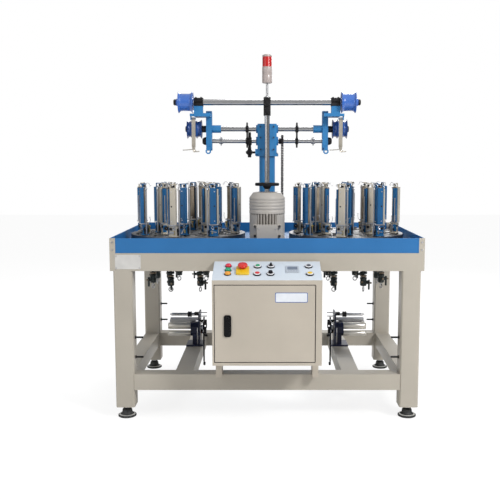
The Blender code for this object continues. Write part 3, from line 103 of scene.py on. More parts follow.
# Each lamp's name, place, power in watts and size.
LAMPS = (
    ("key_light", (2.9, -3.1, 3.3), 150.0, 1.3),
    ("fill_light", (-3.2, -2.6, 2.2), 30.0, 2.4),
    ("back_light", (0.6, 3.3, 3.0), 80.0, 2.2),
)
LAMP_TARGET = (0.0, 0.0, 0.9)
CAMERA_SPOT, CAMERA_DIP = (0, -3.8045, 1.2097), 0.1154
CAMERA_LENS, CAMERA_SHIFT = 53.35, -0.0342


class Shell:
    """The points and faces of a surface.

    faces is a list of arrays, each with three, four or more corners to a row.
    """

    def __init__(self, points, faces):
        self.points = np.asarray(points, float).reshape(-1, 3)
        self.faces = [np.asarray(block, int) for block in faces]

    def __add__(self, other):
        shifted = [block + len(self.points) for block in other.faces]
        return Shell(np.vstack([self.points, other.points]), self.faces + shifted)

    def moved(self, x=0.0, y=0.0, z=0.0):
        return Shell(self.points + (x, y, z), self.faces)

    def onto(self, axis):
        """Lays the shell's own Z along an axis by passing its coordinates round."""
        order = {"X": (2, 0, 1), "Y": (1, 2, 0), "Z": (0, 1, 2)}[axis]
        return Shell(self.points[:, order], self.faces)

    def turned(self, angle, axis="Z"):
        """Turned by the right hand round an axis through the origin."""
        u, v = {"X": (1, 2), "Y": (2, 0), "Z": (0, 1)}[axis]
        points = self.points.copy()
        points[:, u] = math.cos(angle) * self.points[:, u] - math.sin(angle) * self.points[:, v]
        points[:, v] = math.sin(angle) * self.points[:, u] + math.cos(angle) * self.points[:, v]
        return Shell(points, self.faces)

    def mirrored(self):
        """The other hand of the shell, across X."""
        return Shell(self.points * (-1, 1, 1), self.faces)


def handed(shell, side):
    """A shell made for the right, as it is there or mirrored for the left."""
    return shell if side > 0 else shell.mirrored()


def polar(reach, angle):
    """Points at a reach and an angle: reach (cos a, sin a)."""
    return np.stack([reach * np.cos(angle), reach * np.sin(angle)], -1)


def together(shells):
    """All the shells as one."""
    whole = shells[0]
    for shell in shells[1:]:
        whole = whole + shell
    return whole


def skin(grid, ring=False):
    """Quads over a grid of points, whose columns close on themselves.

    The rows close too if ring is set, or get flat ends.
    """
    rows, columns = grid.shape[:2]
    row, column = np.meshgrid(np.arange(rows if ring else rows - 1), np.arange(columns), indexing="ij")
    row, column = row.ravel(), column.ravel()
    above, beside = (row + 1) % rows, (column + 1) % columns
    corners = (row * columns + column, row * columns + beside, above * columns + beside,
               above * columns + column)
    faces = [np.stack(corners, 1)]
    if not ring:
        around = np.arange(columns)
        faces += [around[None, ::-1], (rows - 1) * columns + around[None]]
    return Shell(grid, faces)


def eased(outline, edge, ring):
    """Each corner of an outline gives way to two points, a short way back along its two sides."""
    points = np.asarray(outline, float)
    before = np.roll(points, 1, 0) - points
    after = np.roll(points, -1, 0) - points
    back = np.maximum(np.linalg.norm(before, axis=1, keepdims=True), 1e-9)
    on = np.maximum(np.linalg.norm(after, axis=1, keepdims=True), 1e-9)
    first = points + before / back * np.minimum(edge, back * 0.4)
    second = points + after / on * np.minimum(edge, on * 0.4)
    both = np.stack([first, second], 1).reshape(-1, 2)
    return both if ring else np.vstack([points[:1], both[2:-2], points[-1:]])


def lathe(profile, axis="Z", at=(0, 0, 0), sides=32, ring=False, edge=0.0006):
    """A turned piece, for each profile point and angle a.

    point = radius (cos a, sin a) across the axis and the height along it.
    """
    outline = eased(profile, edge, ring)
    angle = np.arange(sides) * TURN / sides
    grid = np.empty((len(outline), sides, 3))
    grid[..., 0] = outline[:, :1] * np.cos(angle)
    grid[..., 1] = outline[:, :1] * np.sin(angle)
    grid[..., 2] = outline[:, 1:]
    return skin(grid, ring).onto(axis).moved(*at)


def rod(radius, low, high, axis="Z", at=(0, 0, 0), sides=24, edge=0.0006):
    """A round bar with eased ends."""
    low, high = sorted((low, high))
    profile = [(radius - edge, low), (radius, low + edge), (radius, high - edge), (radius - edge, high)]
    return lathe(profile, axis, at, sides, edge=0)


def carried(outline, low, high, axis="Z", at=(0, 0, 0), edge=0.0006):
    """An outline carried along an axis.

    At both ends it draws in by edge, square to itself, along the mean of its sides' normals.
    """
    points = np.asarray(outline, float)
    ahead = np.roll(points, -1, 0) - points
    ahead /= np.maximum(np.linalg.norm(ahead, axis=1, keepdims=True), 1e-9)
    normal = np.stack([ahead[:, 1], -ahead[:, 0]], 1)
    normal = normal + np.roll(normal, 1, 0)
    normal /= np.maximum(np.linalg.norm(normal, axis=1, keepdims=True), 1e-9)
    low, high = sorted((low, high))
    steps = ((edge, low), (0, low + edge), (0, high - edge), (edge, high))
    grid = np.empty((4, len(points), 3))
    for row, (inset, height) in enumerate(steps):
        grid[row, :, :2] = points - normal * inset
        grid[row, :, 2] = height
    return skin(grid).onto(axis).moved(*at)


def rounded(width, depth, corner, arc=5):
    """A rectangle with round corners.

    point = half the size less the corner radius, plus that radius round each quarter turn.
    """
    corner = min(corner, width / 2 - 1e-5, depth / 2 - 1e-5)
    angle = (np.arange(4)[:, None] + np.linspace(0, 1, arc)[None]) * math.pi / 2
    sign = np.array([(1, 1), (-1, 1), (-1, -1), (1, -1)])[:, None, :]
    centre = sign * (width / 2 - corner, depth / 2 - corner)
    return (centre + corner * np.stack([np.cos(angle), np.sin(angle)], 2)).reshape(-1, 2)


def slab(x, y, z, corner=0.003, axis="Z", edge=0.0008):
    """A block between two values on each axis, with round corners about one axis and eased ends."""
    low, high = np.array([sorted(pair) for pair in (x, y, z)]).T
    middle, size = (low + high) / 2, high - low
    u, v, w = {"X": (1, 2, 0), "Y": (2, 0, 1), "Z": (0, 1, 2)}[axis]
    block = carried(rounded(size[u], size[v], corner), -size[w] / 2, size[w] / 2, axis, edge=edge)
    return block.moved(*middle)


def smooth_path(points, steps=8):
    """A smooth curve through the points, whose slope at each is half the step between its neighbours."""
    knots = np.asarray(points, float)
    padded = np.vstack([2 * knots[0] - knots[1], knots, 2 * knots[-1] - knots[-2]])
    t = np.linspace(0, 1, steps, endpoint=False)[None, :, None]
    a, b, c, d = padded[:-3, None], padded[1:-2, None], padded[2:-1, None], padded[3:, None]
    curve = 0.5 * (2 * b + (c - a) * t + (2 * a - 5 * b + 4 * c - d) * t ** 2
                   + (3 * b - a - 3 * c + d) * t ** 3)
    return np.vstack([curve.reshape(-1, 3), knots[-1:]])


def wire(path, radius, sides=8, up=(0.0, 0.0, 1.0)):
    """A circle carried along a path, square to its direction; one of its diameters stays square to up."""
    path = np.asarray(path, float)
    along = np.gradient(path, axis=0)
    along /= np.linalg.norm(along, axis=1, keepdims=True)
    across = np.cross(along, np.asarray(up, float))
    across /= np.maximum(np.linalg.norm(across, axis=1, keepdims=True), 1e-9)
    over = np.cross(across, along)
    angle = (np.arange(sides) * TURN / sides)[None, :, None]
    size = np.broadcast_to(np.asarray(radius, float), (len(path),))[:, None, None]
    return skin(path[:, None] + size * (across[:, None] * np.cos(angle) + over[:, None] * np.sin(angle)))


def coil(radius, thick, low, high, turns, axis="Z", at=(0, 0, 0), sides=6):
    """A spring: a circle carried along a helix that climbs evenly from low to high."""
    t = np.linspace(0, 1, int(turns * 12) + 1)
    path = np.stack([radius * np.cos(TURN * turns * t), radius * np.sin(TURN * turns * t),
                     low + (high - low) * t], 1)
    return wire(path, thick, sides).onto(axis).moved(*at)


def eye(radius, thick, axis="Z", at=(0, 0, 0), sides=20):
    """A ring of round wire."""
    angle = np.arange(8) * TURN / 8
    profile = np.stack([radius + thick * np.cos(angle), thick * np.sin(angle)], 1)
    return lathe(profile, axis, at, sides, ring=True, edge=0)


def screw(radius, height, axis="Z", at=(0, 0, 0), way=1):
    """A cap screw: a low cylinder with a six-sided hollow in its end."""
    angle = np.arange(24) * TURN / 24
    hexagon = 0.55 * radius * math.cos(math.pi / 6) / np.cos((angle % (TURN / 6)) - math.pi / 6)
    profile = ((radius, 0), (radius, 0.85), (0.9 * radius, 1), (None, 1), (None, 0.5))
    grid = np.empty((len(profile), 24, 3))
    for row, (size, share) in enumerate(profile):
        reach = hexagon if size is None else size
        grid[row] = np.stack([reach * np.cos(angle), reach * np.sin(angle),
                              np.full(24, share * height * way)], 1)
    return skin(grid).onto(axis).moved(*at)


def bolt(radius, height, axis="Z", at=(0, 0, 0), way=1):
    """A six-sided bolt head with its washer."""
    washer = rod(radius * 1.3, 0, way * height * 0.2, axis, at, 20, 0.0002)
    hexagon = polar(radius, np.arange(6) * TURN / 6)
    head = carried(hexagon, way * height * 0.15, way * height, axis, at, 0.0005)
    return washer + head


def toothed(teeth, root, tip, phase=0.0):
    """A gear's outline, the first tooth centred on the phase angle.

    Each tooth is a trapezoid between the root and tip circles.
    """
    share = np.array([-0.5, -0.27, -0.20, -0.11, 0.11, 0.20, 0.27])
    reach = np.array([root, root, (root + tip) / 2, tip, tip, (root + tip) / 2, root])
    angle = phase + (np.arange(teeth)[:, None] + share) * TURN / teeth
    return polar(reach, angle).reshape(-1, 2)


def of_node(name):
    """The triangles of a CAD node as a shell."""
    mesh = frame["nodes"][name].data
    points = np.empty(len(mesh.vertices) * 3)
    mesh.vertices.foreach_get("co", points)
    mesh.calc_loop_triangles()
    faces = np.empty(len(mesh.loop_triangles) * 3, np.int32)
    mesh.loop_triangles.foreach_get("vertices", faces)
    return Shell(points, [faces.reshape(-1, 3)])


def mesh_of(name, shell, weld=False):
    """A mesh from a shell, its faces pointing outwards.

    weld merges a copied node's loose triangles and its flat areas.
    """
    mesh = bpy.data.meshes.new(name)
    corners = np.concatenate([block.ravel() for block in shell.faces]).astype(np.int32)
    sizes = np.concatenate([np.full(len(block), block.shape[1]) for block in shell.faces])
    starts = np.concatenate([[0], np.cumsum(sizes)[:-1]]).astype(np.int32)
    mesh.vertices.add(len(shell.points))
    mesh.vertices.foreach_set("co", shell.points.ravel())
    mesh.loops.add(len(corners))
    mesh.loops.foreach_set("vertex_index", corners)
    mesh.polygons.add(len(sizes))
    mesh.polygons.foreach_set("loop_start", starts)
    mesh.update(calc_edges=True)
    mesh.validate()
    bm = bmesh.new()
    bm.from_mesh(mesh)
    if weld:
        bmesh.ops.remove_doubles(bm, verts=bm.verts, dist=1e-5)
        bmesh.ops.holes_fill(bm, edges=[edge for edge in bm.edges if edge.is_boundary])
        bmesh.ops.dissolve_limit(bm, angle_limit=math.radians(1.0), verts=bm.verts, edges=bm.edges)
    bmesh.ops.recalc_face_normals(bm, faces=bm.faces)
    bm.to_mesh(mesh)
    bm.free()
    return mesh


def piece(name, shell, material, body, replaces=(), weld=False, bevel=0.0, angle=35):
    """Makes one named piece from a shell, gives it its finish and puts it on its body."""
    made = bpy.data.objects.new(name, mesh_of(name, shell, weld))
    bpy.context.scene.collection.objects.link(made)
    made.data.materials.append(material)
    made.data.shade_smooth()
    made.data.set_sharp_from_angle(angle=math.radians(angle))
    if bevel:
        rounding = made.modifiers.new("rounded_edges", "BEVEL")
        rounding.width = bevel
        rounding.segments = 2
        rounding.limit_method = "ANGLE"
        rounding.angle_limit = math.radians(30)
        rounding.use_clamp_overlap = True
        rounding.harden_normals = True
    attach(made, body)
    if replaces:
        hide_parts(*replaces)
    return made


def coat(name, colour, roughness=0.4, metallic=0.0, patch=7.0, tint=0.06, grain=900.0, depth=0.00004,
         stretch=(1, 1, 1), clear=0.0, spread=0.08):
    """A painted, moulded or machined finish on Object coordinates.

    A broad noise varies the colour and the roughness, and a fine one, stretched where a tool or a brush
    left its lines, gives the bump. Near black finishes reflect less than the others.
    """
    material = bpy.data.materials.get(name)
    if material:
        return material
    material = bpy.data.materials.new(name)
    material.use_nodes = True
    nodes, links = material.node_tree.nodes, material.node_tree.links
    shader = nodes["Principled BSDF"]
    shader.inputs["Metallic"].default_value = metallic
    shader.inputs["Coat Weight"].default_value = clear
    shader.inputs["Coat Roughness"].default_value = 0.15
    place = nodes.new("ShaderNodeTexCoord")
    scaled = nodes.new("ShaderNodeMapping")
    scaled.inputs["Scale"].default_value = stretch
    links.new(place.outputs["Object"], scaled.inputs["Vector"])
    broad = nodes.new("ShaderNodeTexNoise")
    broad.inputs["Scale"].default_value = patch
    broad.inputs["Detail"].default_value = 5.0
    fine = nodes.new("ShaderNodeTexNoise")
    fine.inputs["Scale"].default_value = grain
    fine.inputs["Detail"].default_value = 3.0
    links.new(scaled.outputs["Vector"], broad.inputs["Vector"])
    links.new(scaled.outputs["Vector"], fine.inputs["Vector"])
    ramp = nodes.new("ShaderNodeValToRGB")
    ramp.color_ramp.elements[0].position = 0.30
    ramp.color_ramp.elements[1].position = 0.70
    ramp.color_ramp.elements[0].color = (*[part * (1 - tint) for part in colour], 1)
    ramp.color_ramp.elements[1].color = (*[min(part * (1 + tint), 1) for part in colour], 1)
    links.new(broad.outputs["Fac"], ramp.inputs["Fac"])
    links.new(ramp.outputs["Color"], shader.inputs["Base Color"])
    gloss = nodes.new("ShaderNodeMapRange")
    gloss.inputs["To Min"].default_value = max(roughness - spread, 0.05)
    gloss.inputs["To Max"].default_value = roughness + spread
    links.new(broad.outputs["Fac"], gloss.inputs["Value"])
    links.new(gloss.outputs["Result"], shader.inputs["Roughness"])
    bump = nodes.new("ShaderNodeBump")
    bump.inputs["Strength"].default_value = 0.6
    bump.inputs["Distance"].default_value = depth
    links.new(fine.outputs["Fac"], bump.inputs["Height"])
    links.new(bump.outputs["Normal"], shader.inputs["Normal"])
    material.diffuse_color = (*colour, 1)
    if max(colour) < NEAR_BLACK:
        shader.inputs["IOR"].default_value = NEAR_BLACK_IOR
    return material


class BraiderSizes(bpy.types.PropertyGroup):
    """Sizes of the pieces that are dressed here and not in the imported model."""

    channel_wall: FloatProperty(name="Channel wall", description="Sheet thickness of a carrier's channel",
                                default=0.0018, min=0.0008, max=0.003, unit="LENGTH")
    spring_wire: FloatProperty(name="Spring wire", description="Wire radius of the carriers' springs",
                               default=0.0008, min=0.0004, max=0.0015, unit="LENGTH")
    motor_fins: IntProperty(name="Motor fins", description="Cooling fins round the main motor",
                            default=36, min=12, max=60)
    chain_pitch: FloatProperty(name="Chain pitch", description="Distance between the pins of the drive chain",
                               default=0.0127, min=0.008, max=0.02, unit="LENGTH")
    edge: FloatProperty(name="Edge radius", description="Rounding of the painted steel's edges",
                        default=0.0018, min=0.0005, max=0.004, unit="LENGTH")


def colour(name, words, default):
    """A colour that the user can change."""
    return FloatVectorProperty(name=name, description=words, subtype="COLOR", size=3, min=0.0, max=1.0,
                               default=default)


class BraiderColours(bpy.types.PropertyGroup):
    """Paints and plastics of the machine."""

    beige: colour("Frame beige", "Powder coat of the frame", (0.425, 0.390, 0.330))
    cabinet: colour("Cabinet beige", "Powder coat of the cabinet and its door", (0.475, 0.425, 0.355))
    blue: colour("Deck blue", "Powder coat of the deck tray", (0.014, 0.140, 0.370))
    tower_blue: colour("Tower blue", "Paint of the take-up column, gearbox and brackets",
                       (0.027, 0.200, 0.460))
    wheel_blue: colour("Wheel blue", "Enamel of the guide wheels", (0.045, 0.145, 0.500))
    carrier_blue: colour("Carrier blue", "Paint of half of the carriers", (0.006, 0.105, 0.270))
    carrier_silver: colour("Carrier silver", "Pale metallic paint of the other carriers", (0.56, 0.51, 0.42))
    motor: colour("Motor grey", "Enamel of the main motor", (0.40, 0.375, 0.345))
    console: colour("Console", "Face of the sloped console", (0.62, 0.68, 0.74))


def sizes():
    return bpy.context.scene.braider_sizes


def paint(name):
    """A powder coat in one of the user's colours, with the fine orange peel of sprayed steel."""
    shade = getattr(bpy.context.scene.braider_colours, name)
    return coat(f"{name}_powder_coat", tuple(shade), 0.42, patch=5.0, tint=0.05, grain=420.0, depth=0.00005,
                clear=0.05)


def steel(run="X", shade=0.50, name="ground_steel", roughness=0.27):
    """Bright metal with the fine lines of grinding along one axis."""
    stretch = {"X": (0.06, 1, 1), "Y": (1, 0.06, 1), "Z": (1, 1, 0.06)}[run]
    tone = (shade, shade, shade * 1.02)
    return coat(f"{name}_{run.lower()}", tone, roughness, 1.0, 60.0, 0.16, 1500.0, 0.00003, stretch)


def dark_steel():
    return coat("blackened_steel", (0.020, 0.019, 0.021), 0.45, 0.6, 40.0, 0.35, 800.0, 0.00005)


def black_plastic():
    return coat("black_moulding", (0.009, 0.009, 0.011), 0.52, 0.0, 20.0, 0.25, 1600.0, 0.00004)


def moulded(name, shade, roughness=0.3):
    """A glossy moulded plastic."""
    return coat(name, shade, roughness, 0.0, 30.0, 0.05, 1200.0, 0.00002, clear=0.3)


class BRAIDER_OT_stage(bpy.types.Operator):
    """Pale floor, studio lights, the white surroundings and the camera at the photograph's angle"""

    bl_idname = "braider.stage"
    bl_label = "Stage"

    def execute(self, context):
        scene = context.scene
        reach = FLOOR_REACH
        corners = np.array([(-reach, -reach, 0), (reach, -reach, 0), (reach, reach, 0), (-reach, reach, 0)],
                           float)
        floor = bpy.data.objects.new("floor", mesh_of("floor", Shell(corners, [np.arange(4)[None]])))
        scene.collection.objects.link(floor)
        material = bpy.data.materials.new("pale_floor")
        material.use_nodes = True
        nodes, links = material.node_tree.nodes, material.node_tree.links
        shader = nodes["Principled BSDF"]
        shader.inputs["Roughness"].default_value = 0.9
        shader.inputs["Base Color"].default_value = (0.86, 0.86, 0.86, 1)
        glow = nodes.new("ShaderNodeEmission")
        glow.inputs["Strength"].default_value = FLOOR_GLOW
        path = nodes.new("ShaderNodeLightPath")
        share = nodes.new("ShaderNodeMath")
        share.operation = "MULTIPLY"
        share.inputs[1].default_value = FLOOR_SHARE
        mix = nodes.new("ShaderNodeMixShader")
        links.new(path.outputs["Is Camera Ray"], share.inputs[0])
        links.new(share.outputs["Value"], mix.inputs["Fac"])
        links.new(shader.outputs["BSDF"], mix.inputs[1])
        links.new(glow.outputs["Emission"], mix.inputs[2])
        links.new(mix.outputs["Shader"], nodes["Material Output"].inputs["Surface"])
        floor.data.materials.append(material)

        world = bpy.data.worlds.new("studio")
        world.use_nodes = True
        scene.world = world
        nodes, links = world.node_tree.nodes, world.node_tree.links
        background = nodes["Background"]
        background.inputs["Color"].default_value = (1, 1, 1, 1)
        path = nodes.new("ShaderNodeLightPath")
        way = nodes.new("ShaderNodeTexCoord")
        parts = nodes.new("ShaderNodeSeparateXYZ")
        sky = nodes.new("ShaderNodeMapRange")
        sky.inputs["From Min"].default_value = -0.05
        sky.inputs["From Max"].default_value = 0.85
        sky.inputs["To Min"].default_value = 0.16
        sky.inputs["To Max"].default_value = 0.78
        level = nodes.new("ShaderNodeMapRange")
        level.inputs["To Max"].default_value = 1.0
        links.new(way.outputs["Generated"], parts.inputs["Vector"])
        links.new(parts.outputs["Z"], sky.inputs["Value"])
        links.new(sky.outputs["Result"], level.inputs["To Min"])
        links.new(path.outputs["Is Camera Ray"], level.inputs["Value"])
        links.new(level.outputs["Result"], background.inputs["Strength"])

        target = np.array(LAMP_TARGET)
        for name, spot, power, size in LAMPS:
            lamp = bpy.data.lights.new(name, "AREA")
            lamp.energy = power
            lamp.shape = "DISK"
            lamp.size = size
            stand = bpy.data.objects.new(name, lamp)
            stand.location = spot
            away = np.array(spot) - target
            level_away = math.hypot(away[0], away[1])
            stand.rotation_euler = (math.atan2(level_away, away[2]), 0, math.atan2(away[0], -away[1]))
            scene.collection.objects.link(stand)

        camera = bpy.data.cameras.new("camera")
        camera.lens = CAMERA_LENS
        camera.sensor_width = 36.0
        camera.shift_x = CAMERA_SHIFT
        stand = bpy.data.objects.new("camera", camera)
        stand.location = CAMERA_SPOT
        stand.rotation_euler = (math.pi / 2 - CAMERA_DIP, 0, 0)
        scene.collection.objects.link(stand)
        scene.camera = stand
        scene.view_settings.view_transform = "Standard"
        return {"FINISHED"}


class BRAIDER_OT_frame(bpy.types.Operator):
    """Frame, deck tray, tower castings, brackets, cabinet and door in their paints, most with rounded edges"""

    bl_idname = "braider.frame"
    bl_label = "Painted steelwork"

    def execute(self, context):
        edge = sizes().edge
        navy = coat("navy_enamel", (0.009, 0.013, 0.040), 0.38, 0.2, 30.0, 0.5)
        jobs = (
            ("frame", "welded_frame", paint("beige"), "beige_paint", edge),
            ("deck_tray", "blue_deck", paint("blue"), "blue_paint", edge * 0.5),
            ("tower_column", "blue_column", paint("tower_blue"), "blue_paint", edge),
            ("gearbox_housing", "cast_housing", paint("tower_blue"), "blue_paint", edge),
            ("end_bracket_left", "bracket_casting_left", paint("tower_blue"), "blue_paint", edge * 0.4),
            ("end_bracket_right", "bracket_casting_right", paint("tower_blue"), "blue_paint", edge * 0.4),
            ("cabinet_door", "cabinet_door_panel", paint("cabinet"), "beige_paint", 0.0),
            ("feed_bracket_left", "feed_casting_left", navy, "navy_paint", 0.0005),
            ("feed_bracket_right", "feed_casting_right", navy, "navy_paint", 0.0005),
        )
        for node, name, material, slot, bevel in jobs:
            body = "cabinet_door" if node == "cabinet_door" else "root"
            piece(name, of_node(node), material, body, (node,), weld=True, bevel=bevel)
        cabinet = piece("cabinet_shell", of_node("cabinet"), paint("cabinet"), "root",
                        ("cabinet",),
                        weld=True, bevel=0.0012)
        cabinet.data.materials[0] = console_finish()
        return {"FINISHED"}


def console_finish():
    """Beige powder coat that gives way to the console's pale film above the plane of the console.

    The height above that plane is the dot product of its normal with the way from its lower edge.
    """
    beige = paint("cabinet").copy()
    beige.name = "console_powder_coat"
    nodes, links = beige.node_tree.nodes, beige.node_tree.links
    shader = nodes["Principled BSDF"]
    under = shader.inputs["Base Color"].links[0].from_socket
    place = next(node for node in nodes if node.type == "TEX_COORD")
    shift = nodes.new("ShaderNodeVectorMath")
    shift.operation = "SUBTRACT"
    shift.inputs[1].default_value = CONSOLE_EDGE
    height = nodes.new("ShaderNodeVectorMath")
    height.operation = "DOT_PRODUCT"
    height.inputs[1].default_value = (0, -math.sin(SLOPE), math.cos(SLOPE))
    above = nodes.new("ShaderNodeMath")
    above.operation = "GREATER_THAN"
    above.inputs[1].default_value = -FILM
    mix = nodes.new("ShaderNodeMixRGB")
    mix.inputs["Color2"].default_value = (*bpy.context.scene.braider_colours.console, 1)
    links.new(place.outputs["Object"], shift.inputs[0])
    links.new(shift.outputs["Vector"], height.inputs[0])
    links.new(height.outputs["Value"], above.inputs[0])
    links.new(above.outputs["Value"], mix.inputs["Fac"])
    links.new(under, mix.inputs["Color1"])
    links.new(mix.outputs["Color"], shader.inputs["Base Color"])
    return beige


def horn_outline(radius=0.070, notch=0.0105, centres=TRACK_RADIUS, around=240):
    """A horn plate's edge, with its four notches at whole quarter turns.

    radius at each angle, cut back to the circle of a notch where that circle reaches inside the plate. The
    carriers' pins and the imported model's own notches stand half way between these, an eighth of a turn off.
    """
    angle = np.arange(around) * TURN / around
    off = angle % (TURN / 4) - TURN / 8
    inside = notch ** 2 - (centres * np.sin(off)) ** 2
    near = centres * np.cos(off) - np.sqrt(np.maximum(inside, 0))
    reach = np.where(inside > 0, np.minimum(radius, near), radius)
    return polar(reach, angle + TURN / 8)


def channel_outline(depth=0.017, width=0.044, wall=0.0018, lip=0.006):
    """A carrier's channel seen from above: a U whose free edges turn in as lips, its back at x = depth."""
    half, inner = width / 2, width / 2 - wall
    return [
        (depth, -half + 0.003), (depth, half - 0.003), (depth - 0.003, half),
        (0.001, half), (0, half - 0.001), (0, half - lip),
        (wall, half - lip), (wall, inner), (depth - wall - 0.002, inner), (depth - wall, inner - 0.002),
        (depth - wall, -inner + 0.002), (depth - wall - 0.002, -inner), (wall, -inner), (wall, -half + lip),
        (0, -half + lip), (0, -half + 0.001), (0.001, -half), (depth - 0.003, -half),
    ]


def carrier_shells(variant):
    """One carrier with its foot at the origin, as (painted, partner, yarn, bright, dark, brass) shells.

    Painted parts take the carrier's own tone and partner parts the other one. Levers and springs stand
    differently in each variant.
    """
    tilt = (variant * 5 % 7 - 3) * 0.10
    hand = 1 if variant % 3 else -1
    wall, thick = sizes().channel_wall, sizes().spring_wire
    base, top = 0.061, 0.241
    painted = [
        slab((-0.021, 0.018), (-0.024, 0.024), (0.0012, 0.0070), 0.005),
        slab((-0.010, 0.014), (-0.021, 0.021), (0.0065, 0.0560), 0.003),
        slab((-0.019, -0.008), (-0.021, -0.009), (0.0065, 0.0400), 0.003),
        carried(channel_outline(width=0.033, wall=wall), base, top, edge=0.0004).moved(0.006, 0.0050 * hand),
        slab((-0.012, 0.020), (-0.011, 0.011), (top - 0.0025, top), 0.004, edge=0.0004),
        slab((-0.0045, 0.0045), (-0.016, 0.016), (top + 0.0155, top + 0.0205), 0.002)
        .turned(0.5 + 2 * tilt).moved(0.004, 0.004 * hand),
        slab((-0.003, 0.004), (-0.021, -0.013), (top, top + 0.0190), 0.002),
        slab((0.006, 0.011), (0.012, 0.019), (top, top + 0.0120 + 0.02 * abs(tilt)), 0.002),
    ]
    tube = [(0.0165, base + 0.001), (0.0165, base + 0.0035), (0.0122, base + 0.005)]
    tube += [(0.0122 - 0.0006 * (k % 2),
              base + 0.005 + (top - base - 0.013) * (k + 1) / 26) for k in range(25)]
    tube += [(0.0122, top - 0.007), (0.0165, top - 0.0055), (0.0165, top - 0.0035)]
    hook = smooth_path([(-0.008, 0, top), (-0.008, 0, top + 0.012), (-0.014, 0.004, top + 0.021),
                        (-0.023, 0.010, top + 0.022), (-0.028, 0.014, top + 0.015)])
    arm = smooth_path([(0.012, -0.016, top), (0.013, -0.019, top + 0.012), (0.007, -0.025, top + 0.019),
                       (-0.004, -0.028, top + 0.015)])
    finger = smooth_path([(-0.014, 0.020, 0.058), (-0.021, 0.024, 0.064), (-0.024, 0.028, 0.080),
                          (-0.021, 0.029, 0.089)])
    lower = smooth_path([(-0.019, -0.016, 0.014), (-0.027, -0.020, 0.020),
                         (-0.031, -0.012 + 0.01 * tilt, 0.034),
                         (-0.026, -0.004, 0.044)])
    side = 0.0275 * hand
    bar, lath = (tuple(sorted((near * hand, -0.0240 * hand))) for near in (-0.0150, -0.0215))
    partner = [
        slab((-0.006, 0.016), bar, (base + 0.001, top - 0.006), 0.002, edge=0.0006),
        slab((-0.004, 0.0155), lath, (0.012, 0.048), 0.001, edge=0.0004),
    ]
    yarn = [lathe(tube, at=(-0.002, 0, 0), sides=20, edge=0.0002)]
    bright = [
        slab((-0.020, 0.022), (-0.0250, 0.0250), (0.0555, 0.0612), 0.006),
        rod(0.0030, base, top + 0.004, at=(-0.002, 0, 0), sides=10),
        rod(0.0042, 0.0040, top + 0.006, at=(-0.004, side, 0), sides=12),
        lathe([(0.0042, top - 0.012), (0.0062, top - 0.011), (0.0062, top - 0.004), (0.0042, top - 0.003)],
              at=(-0.004, side, 0), sides=12),
        rod(0.0024, 0.0600, 0.2000 + 0.05 * tilt, at=(0.006, -side, 0), sides=8),
        coil(0.0046, thick, 0.066, 0.106 + 0.04 * tilt, 9, at=(0.006, -side, 0)),
        coil(0.0060, thick * 1.3, 0.012, 0.052, 6, at=(-0.018, -0.014 * hand, 0)),
        wire(hook, 0.0012, 6, (0, 1, 0.2)),
        wire(arm, 0.0012, 6, (1, 0, 0.2)),
        wire(finger, 0.0012, 6, (1, 0.3, 0)),
        wire(lower, 0.0012, 6, (1, 0.3, 0)),
        eye(0.0038, 0.0011, "Y", (-0.029, 0.014, top + 0.011), 12),
        eye(0.0038, 0.0011, "X", (-0.006, -0.028, top + 0.011), 12),
        eye(0.0042, 0.0012, "Z", (-0.021, 0.030, 0.092), 12),
        screw(0.0030, 0.0016, "X", (0.0225, 0, top - 0.018), 1),
        screw(0.0030, 0.0016, "X", (0.0225, 0, base + 0.016), 1),
        rod(0.0030, -0.0285, 0.0285, "Y", (0, 0, 0.034), 10),
        slab((-0.006, 0.003), (-0.0285, -0.0255), (0.006 + 0.02 * abs(tilt), 0.052), 0.003, "Y", 0.0004)
        .turned(0.6 * tilt, "Y"),
        slab((0.0135, 0.0170), (-0.018, 0.012), (-0.003, 0.003), 0.002, "X", 0.0004)
        .turned(2.2 * tilt + 0.4 * hand, "X").moved(0, 0, 0.022),
        eye(0.0062, 0.0016, "X", (0.0185, 0.009 * hand, 0.043), 14),
        rod(0.0030, 0.0135, 0.0215, "X", (0, 0.009 * hand, 0.050), 10),
    ]
    dark = [
        rod(0.0080, -0.0140, 0.0022, sides=16),
        rod(0.0040, 0.0215, 0.0236, "X", (0, 0, 0.151), 16, 0.0003),
        carried(toothed(14, 0.0095, 0.0125), 0.0215, 0.0250, "Y", (0, 0, 0.032), 0.0003),
        rod(0.0058, 0.0250, 0.0285, "Y", (0, 0, 0.032), 14),
        rod(0.0062, -0.0285, -0.0250, "Y", (0, 0, 0.022), 14),
        rod(0.0135, top - 0.0035, top - 0.0015, at=(-0.002, 0, 0), sides=18),
        lathe([(0.002, top + 0.003), (0.0060, top + 0.005), (0.0060, top + 0.012), (0.002, top + 0.014)],
              at=(-0.002, 0, 0), sides=14),
        rod(0.0036, -0.0235, -0.0175, "Y", (0, 0, top + 0.0160), 12),
        rod(0.0055, -0.0290, -0.0190, "X", (0, -0.004 * hand, 0.030), 12),
        rod(0.0068, 0.0135, 0.0185, "X", (0, -0.010 * hand, 0.0400), 14),
        # Black strip between the channel and the partner bar: painted shade in the gap between them.
        slab((-0.004, 0.015), tuple(sorted((-0.0120 * hand, -0.0150 * hand))), (base, top - 0.004), 0.001,
             edge=0.0003),
        slab((-0.014, 0.008), tuple(sorted((0.0205 * hand, 0.0265 * hand))),
             (0.008, 0.030 + 0.03 * abs(tilt)),
             0.002),
    ]
    brass = [
        rod(0.0048, 0.0150, 0.0500, at=(-0.022, 0.010 * hand, 0), sides=10),
        lathe([(0.0048, 0.0430), (0.0078, 0.0440), (0.0078, 0.0490), (0.0048, 0.0500)],
              at=(-0.022, 0.010 * hand, 0), sides=12),
        slab((0.0140, 0.0165), (-0.004, 0.004), (0.0120, 0.0300), 0.002, "X", 0.0004).moved(0, 0.010 * hand,
                                                                                            0),
    ]
